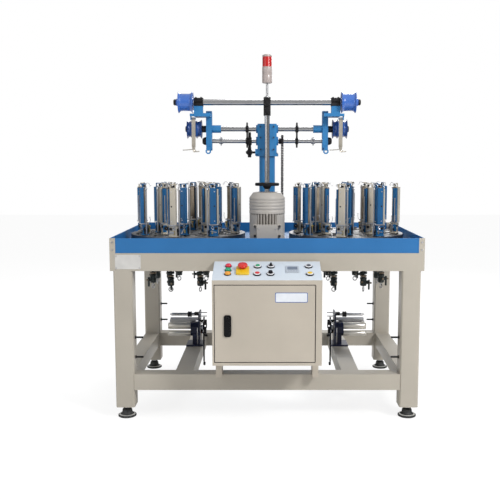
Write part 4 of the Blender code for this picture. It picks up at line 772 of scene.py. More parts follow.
    return [together(shells) for shells in (painted, partner, yarn, bright, dark, brass)]


class BRAIDER_OT_carriers(bpy.types.Operator):
    """Sixteen horn plates, each with its two bobbin carriers, one mostly blue and one mostly silver"""

    bl_idname = "braider.carriers"
    bl_label = "Horn gears and carriers"

    def execute(self, context):
        reach = TRACK_RADIUS * math.sqrt(0.5)
        plate = carried(horn_outline(), HORN_SEAT + 0.0004, GUIDE_TOP - 0.001, edge=0.0008)
        hub = lathe([(0.024, GUIDE_TOP - 0.002), (0.024, GUIDE_TOP + 0.004), (0.013, GUIDE_TOP + 0.006)],
                    sides=28)
        nut = bolt(0.0085, 0.008, at=(0, 0, GUIDE_TOP + 0.0055))
        plate = plate + hub + nut + rod(0.0119, HORN_SEAT - 0.0155, HORN_SEAT + 0.001)
        for k in range(3):
            spot = (0.018 * math.cos(k * TURN / 3), 0.018 * math.sin(k * TURN / 3), GUIDE_TOP + 0.0035)
            plate = plate + screw(0.0030, 0.0022, at=spot)
        tones = context.scene.braider_colours
        paints = {
            "blue": coat("carrier_blue_enamel", tuple(tones.carrier_blue), 0.30, 0.25, 9.0, 0.12, clear=0.4),
            "silver": coat("carrier_silver_paint", tuple(tones.carrier_silver), 0.34, 0.45, 9.0, 0.08),
        }
        horn_metal = steel("X", 0.20, "horn_plate_metal", 0.42)
        shared = (
            ("fittings", 3, steel("Z", 0.66, "bobbin_metal", 0.30), "machined_steel"),
            ("latches", 4, dark_steel(), "dark_steel"),
            ("studs", 5, coat("brass_yellow", (0.58, 0.44, 0.17), 0.32, 1.0, 40.0, 0.15), "machined_steel"),
            ("bobbins", 2, coat("bobbin_tan", (0.34, 0.28, 0.21), 0.40, 0.3, 14.0, 0.55), "machined_steel"),
        )
        for side_name, _ in SIDES:
            for k in range(8):
                body = f"horn_gear_{side_name}_{k + 1}"
                centre, angle = AXIS[body], (k + 0.5) * TURN / 8
                piece(f"horn_plate_{side_name}_{k + 1}", plate.turned(angle).moved(centre[0], centre[1]),
                      horn_metal,
                      body, (body,))
                pairs = []
                for place, x in enumerate((reach, -reach)):
                    shells = [shell.moved(x, reach, GUIDE_TOP).turned(angle).moved(centre[0], centre[1])
                              for shell in carrier_shells(2 * k + place)]
                    tone, other = ("blue", "silver") if (k + place) % 2 == 0 else ("silver", "blue")
                    piece(f"carrier_{tone}_{side_name}_{k + 1}", shells[0], paints[tone], body)
                    piece(f"carrier_bar_{other}_{side_name}_{k + 1}", shells[1], paints[other], body)
                    pairs.append(shells)
                for label, order, material, slot in shared:
                    both = together([shells[order] for shells in pairs])
                    piece(f"carrier_{label}_{side_name}_{k + 1}", both, material, body)
        return {"FINISHED"}


class BRAIDER_OT_tracks(bpy.types.Operator):
    """Slotted track plates, and the spindle hangers with their springs and rings below the deck"""

    bl_idname = "braider.tracks"
    bl_label = "Track plates and hangers"

    def execute(self, context):
        near = 0.0002
        for side_name, _ in SIDES:
            node = f"track_plate_{side_name}"
            whole = of_node(node)
            faces = whole.faces[0]
            top_of = whole.points[faces][:, :, 2].max(axis=1)
            kept = faces[top_of > PLATE_SEAT + near]
            flat = np.ptp(whole.points[faces][:, :, 2], axis=1) < 1e-5
            seat = faces[flat & (np.abs(top_of - PLATE_SEAT) < near)]
            plate = Shell(whole.points, [np.vstack([kept, seat])])
            used = np.unique(plate.faces[0])
            order = np.zeros(len(plate.points), int)
            order[used] = np.arange(len(used))
            plate = Shell(plate.points[used], [order[plate.faces[0]]])
            piece(f"slotted_plate_{side_name}", plate, steel("X", 0.17, "track_metal", 0.45), "root",
                  (node,), weld=True, bevel=0.0006)
            bosses, springs, rings = [], [], []
            for k in range(8):
                x, y, _ = AXIS[f"horn_gear_{side_name}_{k + 1}"]
                turn = 0.4 + 0.9 * k
                bosses += [
                    lathe([(0.008, 0.7750), (0.0215, 0.7770), (0.0215, PLATE_SEAT + 0.001)], at=(x, y, 0),
                          sides=24),
                    rod(0.0070, 0.5950, 0.7790, at=(x, y, 0), sides=14),
                    lathe([(0.0150, 0.6560), (0.0190, 0.6580), (0.0190, 0.6660), (0.0150, 0.6680)],
                          at=(x, y, 0), sides=18),
                    lathe([(0.0120, 0.5950), (0.0165, 0.5980), (0.0175, 0.6150), (0.0150, 0.6260),
                           (0.0175, 0.6290), (0.0175, 0.6380), (0.0110, 0.6400)], at=(x, y, 0), sides=18),
                    slab((-0.004, 0.034), (-0.0050, 0.0050), (0.606, 0.624),
                         0.003).turned(turn).moved(x, y, 0),
                    slab((-0.030, 0.004), (-0.0040, 0.0040), (0.650, 0.662),
                         0.003).turned(turn + 0.5).moved(x, y, 0),
                    slab((0.026, 0.034), (-0.0055, 0.0055), (0.578, 0.628),
                         0.003).turned(turn).moved(x, y, 0),
                    slab((-0.034, -0.027), (-0.0045, 0.0045), (0.634, 0.680),
                         0.003).turned(turn + 0.5).moved(x, y, 0),
                ]
                springs += [
                    coil(0.0150, 0.0024, 0.6700, 0.7560, 11, at=(x, y, 0), sides=8),
                    lathe([(0.0100, 0.6420), (0.0170, 0.6430), (0.0170, 0.6500), (0.0100, 0.6510)],
                          at=(x, y, 0), sides=18),
                    rod(0.0045, 0.0300, 0.0440, "X").turned(turn).moved(x, y, 0.6130),
                    rod(0.0035, -0.0420, -0.0300, "X").turned(turn + 0.5).moved(x, y, 0.6560),
                    rod(0.0060, -0.0200, -0.0150, "Y").turned(turn).moved(x, y, 0.6160),
                ]
                rings += [
                    eye(0.0105, 0.0026, "X").turned(turn).moved(x, y, 0.5770),
                    rod(0.0034, 0.5850, 0.5960, at=(x, y, 0), sides=10),
                ]
            for label, shells, material, slot in (
                ("hangers", bosses, coat("oily_casting", (0.026, 0.034, 0.034), 0.40, 0.4, 110.0, 0.9),
                 "dark_steel"),
                ("hanger_springs", springs, coat("oiled_spring", (0.24, 0.19, 0.14), 0.36, 0.8, 60.0, 0.4),
                 "dark_steel"),
                ("hanger_rings", rings, steel("Z", 0.50, "ring_metal", 0.28), "machined_steel"),
            ):
                piece(f"{label}_{side_name}", together(shells), material, "root")
        return {"FINISHED"}


class BRAIDER_OT_motor(bpy.types.Operator):
    """Main motor: finned body, terminal box, mounting flange, fan cowl and handwheel"""

    bl_idname = "braider.motor"
    bl_label = "Main motor"

    def execute(self, context):
        x, y, wheel_z = AXIS["handwheel"]
        seat = PLATE_SEAT
        low, high = BOX["fan_cowl"][:, 2]
        fin_count = sizes().motor_fins
        angle = np.arange(fin_count * 8) * TURN / (fin_count * 8)
        reach = 0.0775 + 0.0085 * np.clip(2.2 * np.cos(fin_count * angle), -1, 1)
        fins = polar(reach, angle)
        body = [
            carried(fins, 0.850, low - 0.0004, edge=0.001),
            lathe([(0.060, seat), (0.0745, seat + 0.004), (0.0745, 0.846), (0.078, 0.849), (0.078, 0.853)],
                  sides=48),
            slab((-0.098, 0.098), (-0.098, 0.098), (seat, seat + 0.013), 0.030, edge=0.0015),
            slab((-0.047, 0.047), (-0.1130, -0.0600), (0.832, 0.920), 0.006, "Y", 0.0012),
            slab((-0.050, 0.050), (-0.1165, -0.1125), (0.829, 0.924), 0.007, "Y", 0.0012),
            slab((-0.004, 0.004), (-0.0885, -0.0800), (low - 0.010, low + 0.002), 0.002, "Y", 0.0006),
            slab((-0.083, -0.058), (-0.050, 0.050), (0.838, 0.868), 0.006, "Y", 0.0012),
            slab((0.058, 0.083), (-0.050, 0.050), (0.838, 0.868), 0.006, "Y", 0.0012),
            lathe([(0.008, low - 0.008), (0.012, low - 0.006), (0.012, low - 0.001)], sides=20),
        ]
        lug_heights = (0.866, 0.912)
        sweep = np.radians(np.linspace(34, 146, 24))
        outer = np.stack([0.0855 * np.sin(sweep), -0.0855 * np.cos(sweep)], 1)
        inner = np.stack([0.0740 * np.sin(sweep[::-1]), -0.0740 * np.cos(sweep[::-1])], 1)
        cheek = carried(np.vstack([outer, inner]), 0.8500, low - 0.0050, edge=0.0012)
        for side in (-1, 1):
            body.append(handed(cheek, side))
            body.append(slab((side * 0.020, side * 0.028), (0.060, 0.090), (0.870, 0.960), 0.002))
            body += [slab((side * 0.050, side * 0.068), (-0.0800, -0.0500), (z - 0.009, z + 0.009), 0.004,
                          "Y", 0.0010)
                     for z in lug_heights]
        grey = paint("motor")
        piece("motor_casing", together(body).moved(x, y, 0), grey, "root", ("motor_body",))
        corners = [(i, j) for i in (-1, 1) for j in (-1, 1)]
        screws = [bolt(0.0065, 0.006, at=(x + i * 0.080, y + j * 0.080, seat + 0.013)) for i, j in corners]
        screws += [screw(0.0032, 0.0028, "Y", (x + i * 0.040, y - 0.1165, 0.870 + j * 0.034), -1)
                   for i, j in corners]
        lugs = [bolt(0.0048, 0.0045, "Y", (x + i * 0.059, y - 0.0800, z),
                     -1) for i in (-1, 1) for z in lug_heights]
        piece("motor_lug_screws", together(lugs), steel("Z", 0.10, "lug_screw_metal", 0.4), "root")
        piece("motor_screws", together(screws), steel("Z", 0.55, "screw_metal", 0.3), "root")
        gland = lathe([(0.009, 0), (0.009, 0.006), (0.0075, 0.007), (0.0075, 0.016), (0.005, 0.019)],
                      "X", (x + 0.045, y - 0.088, 0.852), 16)
        piece("motor_cable_gland", gland, black_plastic(), "root")
        cowl = [(0.0872, low), (0.0872, low + 0.004)]
        for height in (0.020, 0.036, 0.052, 0.066):
            cowl += [(0.0872, low + height - 0.0040), (0.0855, low + height - 0.0030), (0.0855, low + height),
                     (0.0872, low + height + 0.0010)]
        cowl += [(0.0865, high - 0.026), (0.0690, high - 0.0030), (0.0640, high), (0.0120, high),
                 (0.0120, high - 0.0018), (0.0625, high - 0.0018), (0.0680, high - 0.0048),
                 (0.0838, high - 0.0270),
                 (0.0838, low)]
        shell = lathe(cowl, at=(x, y, 0), sides=64, ring=True, edge=0.0008)
        piece("cowl", shell, grey, "root", ("fan_cowl",))
        # Black strips on the cowl's top: painted shade for the dark inside of its vent slots, which are not
        # cut.
        slot_outline = rounded(0.026, 0.0030, 0.0014, 4)
        cut = carried(slot_outline, high - 0.0010, high + 0.0003, edge=0.0002).moved(0.036, 0, 0)
        grid = [cut.turned(k * TURN / 28) for k in range(28)]
        piece("cowl_slots", together(grid).moved(x, y, 0), black_plastic(), "root")

        rim = lathe([(0.0588, -0.0045), (0.0588, 0.0045), (0.0560, 0.0072), (0.0490, 0.0072),
                     (0.0450, 0.0045),
                     (0.0450, -0.0045), (0.0490, -0.0072),
                     (0.0560, -0.0072)], sides=56, ring=True, edge=0.0012)
        hub = lathe([(0.0090, -0.0230), (0.0140, -0.0225), (0.0205, -0.0100), (0.0220, -0.0060),
                     (0.0220, 0.0035),
                     (0.0180, 0.0055), (0.0080, 0.0060)], sides=36, edge=0.001)
        spoke = slab((0.017, 0.049), (-0.006, 0.006), (-0.0045, 0.0025), 0.003, "X")
        spokes = [spoke.turned(TURN / 12 + k * TURN / 3) for k in range(3)]
        wheel = together([rim, hub] + spokes).moved(x, y, wheel_z)
        piece("hand_wheel", wheel, black_plastic(), "handwheel", ("handwheel",))
        nut = rod(0.0079, 0.9240, wheel_z - 0.0220) + bolt(0.0120, 0.0120, at=(0, 0, wheel_z - 0.0360))
        nut = nut + bolt(0.0060, 0.006, at=(0, 0, wheel_z + 0.0058))
        piece("hand_wheel_nut", nut.moved(x, y, 0), steel("Z", 0.62, "nut_metal", 0.22), "handwheel")
        return {"FINISHED"}


class BRAIDER_OT_tower(bpy.types.Operator):
    """Take-up tower: centre post, black clamps, cross tube with axles and hub caps, flange bolts"""

    bl_idname = "braider.tower"
    bl_label = "Take-up tower"

    def execute(self, context):
        y, tube_z = AXIS["guide_wheel_left"][1:]
        reach, clamp, outer = 0.324, 0.047, 0.462
        post = rod(0.0130, PLATE_SEAT, 1.460, at=(0, y, 0), sides=40)
        flange = lathe([(0.030, PLATE_SEAT), (0.030, PLATE_SEAT + 0.009), (0.018, PLATE_SEAT + 0.011),
                        (0.018, PLATE_SEAT + 0.024), (0.0135, PLATE_SEAT + 0.026)], at=(0, y, 0), sides=36)
        piece("round_post", post + flange, steel("Z", 0.58, "post_chrome", 0.20), "root",
              ("centre_post",))
        blocks = [slab((-0.018, 0.018), (y - 0.024, y + 0.024), (1.455, 1.4975), 0.004),
                  slab((-0.018, 0.018), (y - 0.024, y + 0.024), (1.499, 1.545), 0.004)]
        cap = lathe([(0.008, 0), (0.0155, 0.0008), (0.0155, 0.009), (0.012, 0.013), (0.004, 0.0135)], "X",
                    sides=24)
        cap = cap.moved(outer, y, tube_z)
        for _, side in SIDES:
            for span in ((tube_z - 0.019, tube_z - 0.0006), (tube_z + 0.0006, tube_z + 0.022)):
                blocks.append(slab((side * reach, side * (reach + clamp)), (y - 0.021, y + 0.021), span,
                                   0.004, "X"))
            blocks.append(handed(cap, side))
        piece("clamp_blocks", together(blocks), dark_steel(), "root")
        tube = [rod(0.0150, -reach - 0.002, reach + 0.002, "X", (0, y, tube_z), 40)]
        for _, side in SIDES:
            tube.append(rod(0.0079, side * (reach + clamp - 0.002), side * (outer + 0.002), "X",
                            (0, y, tube_z), 24))
        piece("cross_tube", together(tube), steel("X", 0.48, "tube_chrome", 0.22), "root",
              ("top_tube",))
        heads = [screw(0.0042, 0.0040, "Y", (i * 0.011, y - 0.024, z), -1)
                 for i in (-1, 1) for z in (1.463, 1.489, 1.509, 1.536)]
        for _, side in SIDES:
            heads += [screw(0.0040, 0.0040, at=(side * (reach + along), y + across, tube_z + 0.022))
                      for along in (0.010, 0.037) for across in (-0.014, 0.014)]
        heads += [bolt(0.0060, 0.006,
                       at=(i * 0.050, BOX["tower_column"][:, 1].mean() + j * 0.044, PLATE_SEAT + 0.012))
                  for i in (-1, 1) for j in (-1, 1)]
        low, high = BOX["gearbox_housing"]
        heads += [screw(0.0040, 0.0035, "Y", (i * 0.034, low[1], z), -1)
                  for i in (-1, 1) for z in (1.285, 1.345, 1.400)]
        heads += [bolt(0.0055, 0.0055, at=(0.050 * math.cos(a), high[1] - 0.052 + 0.050 * math.sin(a), 1.264))
                  for a in np.arange(8) * TURN / 8 + 0.2
                  if abs(math.cos(a)) > 0.93 or abs(math.sin(a)) > 0.93]
        piece("tower_screws", together(heads), steel("Z", 0.08, "dark_screw_metal", 0.40), "root")
        return {"FINISHED"}


class BRAIDER_OT_wheels(bpy.types.Operator):
    """Two flanged guide wheels and two capstans with three rope grooves"""

    bl_idname = "braider.wheels"
    bl_label = "Guide wheels and capstans"

    def execute(self, context):
        shade = context.scene.braider_colours
        guide_paint = coat("guide_wheel_enamel", tuple(shade.wheel_blue), 0.28, 0.0, 12.0, 0.08, clear=0.5)
        dim = tuple(part * 0.62 for part in shade.wheel_blue)
        capstan_paint = coat("capstan_enamel", dim, 0.30, 0.0, 12.0, 0.10, clear=0.5)
        for name, side in SIDES:
            y, z = AXIS[f"guide_wheel_{name}"][1:]
            near, far = 0.3765, 0.450
            profile = [
                (0.0083, near), (0.0180, near), (0.0190, near + 0.002), (0.0480, near + 0.002),
                (0.0490, near),
                (0.0535, near), (0.0540, near + 0.003), (0.0480, near + 0.007), (0.0440, near + 0.012),
                (0.0430, near + 0.022), (0.0430, far - 0.022), (0.0440, far - 0.012), (0.0480, far - 0.007),
                (0.0540, far - 0.003), (0.0535, far), (0.0490, far), (0.0480, far - 0.002),
                (0.0190, far - 0.002),
                (0.0180, 0.4615), (0.0083, 0.4615),
            ]
            wheel = handed(lathe(profile, "X", sides=64, ring=True, edge=0.001), side).moved(0, y, z)
            body = f"guide_wheel_{name}"
            piece(f"guide_roll_{name}", wheel, guide_paint, body, (body,))

            y, z = AXIS["upper_shaft"][1:]
            near, far = 0.340, 0.415
            t = np.linspace(0, 1, 46)
            grooves = [(0.0500 - 0.0105 * abs(math.sin(math.pi * 3 * s)) ** 0.8,
                        near + 0.001 + (far - near - 0.002) * s) for s in t]
            profile = [(0.0128, near), (0.0485, near)] + grooves + [(0.0485, far), (0.0128, far)]
            wheel = handed(lathe(profile, "X", sides=64, ring=True, edge=0.0003), side).moved(0, y, z)
            piece(f"grooved_capstan_{name}", wheel, capstan_paint, "upper_shaft",
                  (f"capstan_{name}",))
        return {"FINISHED"}


class BRAIDER_OT_shafts(bpy.types.Operator):
    """Take-up shafts with spur gears, change gears, sprocket and collars"""

    bl_idname = "braider.shafts"
    bl_label = "Take-up shafts"

    def execute(self, context):
        y, upper = AXIS["upper_shaft"][1:]
        lower = AXIS["lower_shaft"][2]
        pinion_y, pinion_z = AXIS["gearbox_pinion"][1:]
        teeth, change, small = 16, 22, 12
        module = (upper - lower) / teeth

        def gear(count, x, width, phase, at, hub=0.016):
            outline = toothed(count, module * (count / 2 - 1.25), module * (count / 2 + 0.85), phase)
            body = carried(outline, x - width / 2, x + width / 2, "X", (0, *at), 0.0005)
            return body + rod(hub, x - width / 2 - 0.004, x + width / 2 + 0.004, "X", (0, *at), 28)

        half = math.pi / teeth
        gears = [gear(teeth, x, 0.0078, -math.pi / 2 + half, (y, upper), 0.017) for x in (-0.104, 0.155)]
        caps = []
        cap = rod(0.0178, 0.3165, 0.3395, "X", sides=28)
        cap = cap + lathe([(0.016, 0.4154), (0.016, 0.4230), (0.011, 0.4252)], "X", sides=28)
        for _, side in SIDES:
            caps.append(handed(cap, side).moved(0, y, upper))
        piece("upper_shaft_bar", rod(0.0125, -0.4152, 0.4152, "X", (0, y, upper), 32),
              steel("X", 0.42, "shaft_metal", 0.25), "upper_shaft", ("upper_shaft",))
        piece("upper_shaft_gears", together(gears + caps), dark_steel(), "upper_shaft")

        facing = math.atan2(pinion_z - lower, pinion_y - y)
        gears = [gear(teeth, x, 0.0078, math.pi / 2, (y, lower), 0.016) for x in (-0.104, 0.155)]
        gears.append(gear(change, -0.091, 0.0138, facing, (y, lower), 0.020))
        gears.append(carried(toothed(14, 0.0195, 0.0245), 0.0765, 0.0815, "X", (0, y, lower), 0.0004))
        gears.append(rod(0.0150, 0.0600, 0.0760, "X", (0, y, lower), 28))
        collars = []
        end = lathe([(0.0205, 0.3165), (0.0215, 0.3175), (0.0190, 0.3290), (0.0130, 0.3368), (0.006, 0.3370)],
                    "X", sides=28)
        hub = rod(0.0150, 0.2300, 0.2375, "X", sides=24) + rod(0.0240, 0.2380, 0.2420, "X", sides=36)
        hub = hub + rod(0.0150, 0.2425, 0.2500, "X", sides=24) + screw(0.003, 0.002, at=(0.2340, 0, 0.0145))
        for _, side in SIDES:
            collars.append(handed(hub, side).moved(0, y, lower))
            gears.append(handed(end, side).moved(0, y, lower))
        bar = rod(0.0110, -0.3350, 0.3350, "X", (0, y, lower), 32)
        piece("lower_shaft_bar", together([bar] + collars), steel("X", 0.52, "shaft_bright", 0.24),
              "lower_shaft",
              ("lower_shaft",))
        piece("lower_shaft_gears", together(gears), dark_steel(), "lower_shaft")

        away = facing + math.pi + math.pi / small
        wheel = gear(small, -0.091, 0.0178, away, (pinion_y, pinion_z), 0.012)
        wheel = wheel + rod(0.0059, -0.0880, -0.0245, "X", (0, pinion_y, pinion_z))
        wheel = wheel + bolt(0.0075, 0.006, "X", (-0.104, pinion_y, pinion_z), -1)
        piece("change_pinion", wheel, dark_steel(), "gearbox_pinion", ("gearbox_pinion",))
        return {"FINISHED"}


class BRAIDER_OT_chain(bpy.types.Operator):
    """Roller chain from the lower shaft down through the deck: plates and rollers along one closed loop"""

    bl_idname = "braider.chain"
    bl_label = "Drive chain"

    def execute(self, context):
        y, top = AXIS["lower_shaft"][1:]
        low, high = BOX["drive_chain"]
        x, bottom = (low[0] + high[0]) / 2, low[2]
        radius = high[2] - top - 0.0045
        run = top - bottom - 0.005
        length = 2 * run + math.pi * radius + 2 * radius
        links = int(length / sizes().chain_pitch / 2) * 2
        pitch = length / links
        where = (np.arange(links) + 0.5) * pitch

        def along(s):
            """The loop: up the front run, over the half circle, down the rear run and back below."""
            s = s % length
            arc = (s - run) / radius
            down = s - run - math.pi * radius
            across = down - run
            pieces = [s < run, s < run + math.pi * radius, s < 2 * run + math.pi * radius]
            along_y = np.select(pieces, [-radius + 0 * s, -radius * np.cos(arc), radius + 0 * s],
                                radius - across)
            along_z = np.select(pieces, [bottom + 0.005 + s, top + radius * np.sin(arc), top - down],
                                bottom + 0.005 + 0 * s)
            return along_y, along_z

        link = carried(rounded(pitch + 0.0070, 0.0072, 0.0035, 3), -0.0007, 0.0007, "X", edge=0)
        shells = []
        for k, s in enumerate(where):
            a, b = along(np.array(s - pitch / 2)), along(np.array(s + pitch / 2))
            turn = math.atan2(b[1] - a[1], b[0] - a[0])
            middle = ((a[0] + b[0]) / 2, (a[1] + b[1]) / 2)
            gap = 0.0052 if k % 2 else 0.0037
            for side in (-1, 1):
                shells.append(link.moved(side * gap, 0, 0).turned(turn, "X").moved(x, y + middle[0],
                                                                                   middle[1]))
            shells.append(rod(0.0031, -0.0062, 0.0062, "X", (x, y + a[0], a[1]), 8, 0.0003))
        piece("roller_chain", together(shells),
              coat("chain_steel", (0.055, 0.045, 0.05), 0.38, 0.8, 80.0, 0.4),
              "root", ("drive_chain",), angle=40)
        return {"FINISHED"}


class BRAIDER_OT_levers(bpy.types.Operator):
    """Flat stop levers in front of the capstans, with wire hooks at their lower ends"""

    bl_idname = "braider.levers"
    bl_label = "Stop levers"

    def execute(self, context):
        nickel = coat("lever_nickel", (0.50, 0.46, 0.39), 0.34, 0.45, 12.0, 0.10)
        for name, _ in SIDES:
            body = f"stop_lever_{name}"
            x, y, z = AXIS[body]
            low = 1.290 - z
            strap = slab((-0.0098, 0.0098), (-0.0026, 0.0026), (low, 0.006), 0.0090, "Y", 0.0006)
            strap = strap + slab((-0.0075, 0.0075), (-0.0080, 0.0050), (low - 0.006, low + 0.010), 0.003,
                                 "Y", 0.0006)
            eye_end = lathe([(0.0034, -0.0083), (0.0062, -0.0083), (0.0062, 0.0083), (0.0034, 0.0083)],
                            "X", sides=24, ring=True)
            hook = smooth_path([(0, 0, low + 0.010), (0, -0.004, low - 0.004), (0.004, -0.004, low - 0.014),
                                (0.016, -0.003, low - 0.017), (0.029, 0, low - 0.015)])
            tail = smooth_path([(0.002, -0.003, low - 0.004), (-0.012, -0.004, low - 0.006),
                                (-0.034, -0.002, low - 0.008), (-0.056, 0, low - 0.009)])
            loop = eye(0.0068, 0.0020, "Y", (0.004, -0.004, low - 0.012))
            metal = strap + wire(hook, 0.0027, 8, (0, 1, 0)) + wire(tail, 0.0023, 8, (0, 1, 0)) + loop
            metal = metal + screw(0.0034, 0.0030, "Y", (0, -0.0022, low + 0.014), -1)
            piece(f"lever_strap_{name}", metal.moved(x, y, z), nickel, body, (body,))
            piece(f"lever_pivot_{name}", eye_end.moved(x, y, z), steel("X", 0.45, "pivot_metal", 0.3), body)
        return {"FINISHED"}


class BRAIDER_OT_lamp(bpy.types.Operator):
    """Signal lamp: thin pole, pale base and ribbed red lens"""

    bl_idname = "braider.lamp"
    bl_label = "Signal lamp"

    def execute(self, context):
        low, high = BOX["signal_lamp"]
        x, y = (low[0] + high[0]) / 2, (low[1] + high[1]) / 2
        at = (x, y, 0)
        lens = [(0.0235, 1.6975)] + [(0.0240 - 0.0007 * (k % 2), 1.6990 + 0.0026 * k) for k in range(18)]
        lens += [(0.0232, 1.7465), (0.0200, 1.7470)]
        red = moulded("red_lens", (0.50, 0.008, 0.008), 0.30)
        piece("lamp_lens", lathe(lens, at=at, sides=40, edge=0.0004), red, "root",
              ("signal_lamp",))
        base = lathe([(0.020, 1.6160), (0.0245, 1.6180), (0.0250, 1.6200), (0.0250, 1.6560), (0.0242, 1.6570),
                      (0.0242, 1.6590), (0.0250, 1.6600), (0.0250, 1.6930),
                      (0.0238, 1.6975)], at=at, sides=40)
        cap = lathe([(0.0232, 1.7468), (0.0240, 1.7480), (0.0240, 1.7550), (0.0200, 1.7578),
                     (0.0060, 1.7580)],
                    at=at, sides=36)
        piece("lamp_base", base + cap, moulded("lamp_grey", (0.42, 0.36, 0.34), 0.40), "root")
        pole = rod(0.0058, 1.5510, 1.6165, at=at, sides=20)
        pole = pole + lathe([(0.0130, 1.5455), (0.0130, 1.5490), (0.0080, 1.5530)], at=at, sides=28)
        piece("lamp_pole", pole, steel("Z", 0.50, "pole_metal", 0.3), "root")
        return {"FINISHED"}


def on_console(shell, x=0.0, share=0.0):
    """From the console's own plane, with Z out of it, to its place on the cabinet."""
    return shell.moved(x, share * CONSOLE_LENGTH, 0).turned(SLOPE, "X").moved(*CONSOLE_EDGE)


class BRAIDER_OT_console(bpy.types.Operator):
    """Console: bezels, collars, buttons, switch, knob, indicator lamps and display"""

    bl_idname = "braider.console"
    bl_label = "Console"

    def execute(self, context):
        black = black_plastic()
        controls = (
            ("emergency_stop", STOP_X, STOP_SHARE, "mushroom", (0.62, 0.020, 0.012), "red_plastic"),
            ("start_button", -0.043, 0.70, "button", (0.010, 0.30, 0.12), "green_plastic"),
            ("stop_button", -0.0445, 0.30, "button", (0.60, 0.020, 0.020), "red_plastic"),
            ("selector_switch", 0.0173, 0.70, "selector", None, "black_plastic"),
            ("speed_knob", 0.0153, 0.30, "knob", None, "black_plastic"),
            ("white_button", 0.190, 0.70, "button", (0.055, 0.055, 0.065), "white_plastic"),
            ("yellow_button", 0.1925, 0.30, "button", (0.75, 0.50, 0.02), "yellow_plastic"),
        )
        plug = [(STEM, -0.0078), (STEM, 0.0070), (0.0090, 0.0080)]
        profiles = {
            "mushroom": [(0.0100, -0.0078), (STEM, 0.0175), (0.0215, 0.0185), (0.0225, 0.0205),
                         (0.0225, 0.0265),
                         (0.0205, 0.0300), (0.0120, 0.0325), (0.0030, 0.0330)],
            "button": [(STEM, -0.0078), (STEM, 0.0085), (0.0095, 0.0105), (0.0030, 0.0110)],
            "selector": plug,
            "knob": plug,
        }
        ring = lathe([(HOLE, 0.0052), (0.0160, 0.0052), (0.0160, 0.0078), (0.0146, 0.0090), (0.0122, 0.0092),
                      (HOLE, 0.0086)], sides=36, ring=True)
        washer = lathe([(HOLE, 0.0002), (0.0178, 0.0002), (0.0178, 0.0050), (0.0166, 0.0056), (HOLE, 0.0056)],
                       sides=40, ring=True, edge=0.0003)
        bezels, washers = [], []
        for name, x, share, kind, shade, slot in controls:
            shell = lathe(profiles[kind], sides=32)
            if kind == "mushroom":
                shell = lathe(profiles[kind], sides=40, edge=0.0008)
            else:
                bezels.append(on_console(ring, x, share))
                washers.append(on_console(washer, x, share))
            if kind == "selector":
                shell = shell + slab((-0.0048, 0.0048), (-0.0100, 0.0100), (0.0070, 0.0180), 0.0028)
                line = carried(rounded(0.0010, 0.0060, 0.0004), 0.0176, 0.0184,
                               edge=0.0001).moved(0, 0.0055, 0)
                mark = on_console(line, x, share)
            elif kind == "knob":
                angle = np.arange(96) * TURN / 96
                grip = polar(0.0092 + 0.0003 * np.cos(24 * angle), angle)
                shell = shell + carried(grip, 0.0075, 0.0180, edge=0.0008)
            material = black if shade is None else moulded(f"{name}_plastic", shade)
            piece(f"{name}_head", on_console(shell, x, share), material, name, (name,))
        piece("bezel_rings", together(bezels), moulded("bezel_white", (0.74, 0.74, 0.76), 0.25), "root")
        piece("bezel_washers", together(washers), black, "root")
        piece("selector_mark", mark, moulded("white_mark", (0.8, 0.8, 0.8)), "selector_switch")
        collar = carried(rounded(0.060, 0.074, 0.008), 0.0002, 0.0102, edge=0.0015).moved(0, -0.014, 0)
        collar = collar + lathe([(0.0240, 0.0096), (0.0235, 0.0104), (0.0150, 0.0107), (0.0112, 0.0107),
                                 (0.0112, 0.0096)], sides=40, ring=True)
        piece("stop_collar", on_console(collar, STOP_X, STOP_SHARE),
              moulded("yellow_collar", (0.80, 0.52, 0.015), 0.35), "root")
        lens = lathe([(0.0136, 0.0020), (0.0136, 0.0086), (0.0112, 0.0116), (0.0035, 0.0125)], sides=32,
                     edge=0.0008)
        ring = lathe([(0.0137, 0.0002), (0.0158, 0.0002), (0.0158, 0.0030), (0.0137, 0.0044)],
                     sides=32, ring=True, edge=0.0004)
        indicators_x = -0.177
        for tone, shade, share in (("orange", (0.80, 0.33, 0.03), 0.30), ("green", (0.015, 0.33, 0.15), 0.50),
                                   ("red", (0.68, 0.03, 0.05), 0.72)):
            piece(f"indicator_{tone}", on_console(lens, indicators_x, share),
                  moulded(f"indicator_{tone}", shade, 0.2), "root")
            piece(f"indicator_ring_{tone}", on_console(ring, indicators_x, share), black, "root")
        display_x, middle = 0.115, 0.54
        border = carried(rounded(0.058, 0.068, 0.003), -0.0002, 0.0046).moved(display_x, 0, 0)
        glass = carried(rounded(0.046, 0.030, 0.002), 0.0044, 0.0050, edge=0.0002).moved(display_x, 0.008, 0)
        key = carried(rounded(0.008, 0.006, 0.001), 0.0044, 0.0056, edge=0.0002)
        keys = together([key.moved(display_x + k * 0.012, -0.020, 0) for k in (-1.5, -0.5, 0.5, 1.5)])
        for name, shell, material, slot in (
            ("display_frame", border, moulded("display_grey", (0.46, 0.50, 0.55), 0.4), "white_plastic"),
            ("display_glass", glass, moulded("display_glass", (0.20, 0.22, 0.25), 0.15), "black_plastic"),
            ("display_keys", keys, moulded("key_grey", (0.30, 0.32, 0.36), 0.4), "black_plastic"),
        ):
            piece(name, on_console(shell, 0, middle), material, "root")
        return {"FINISHED"}


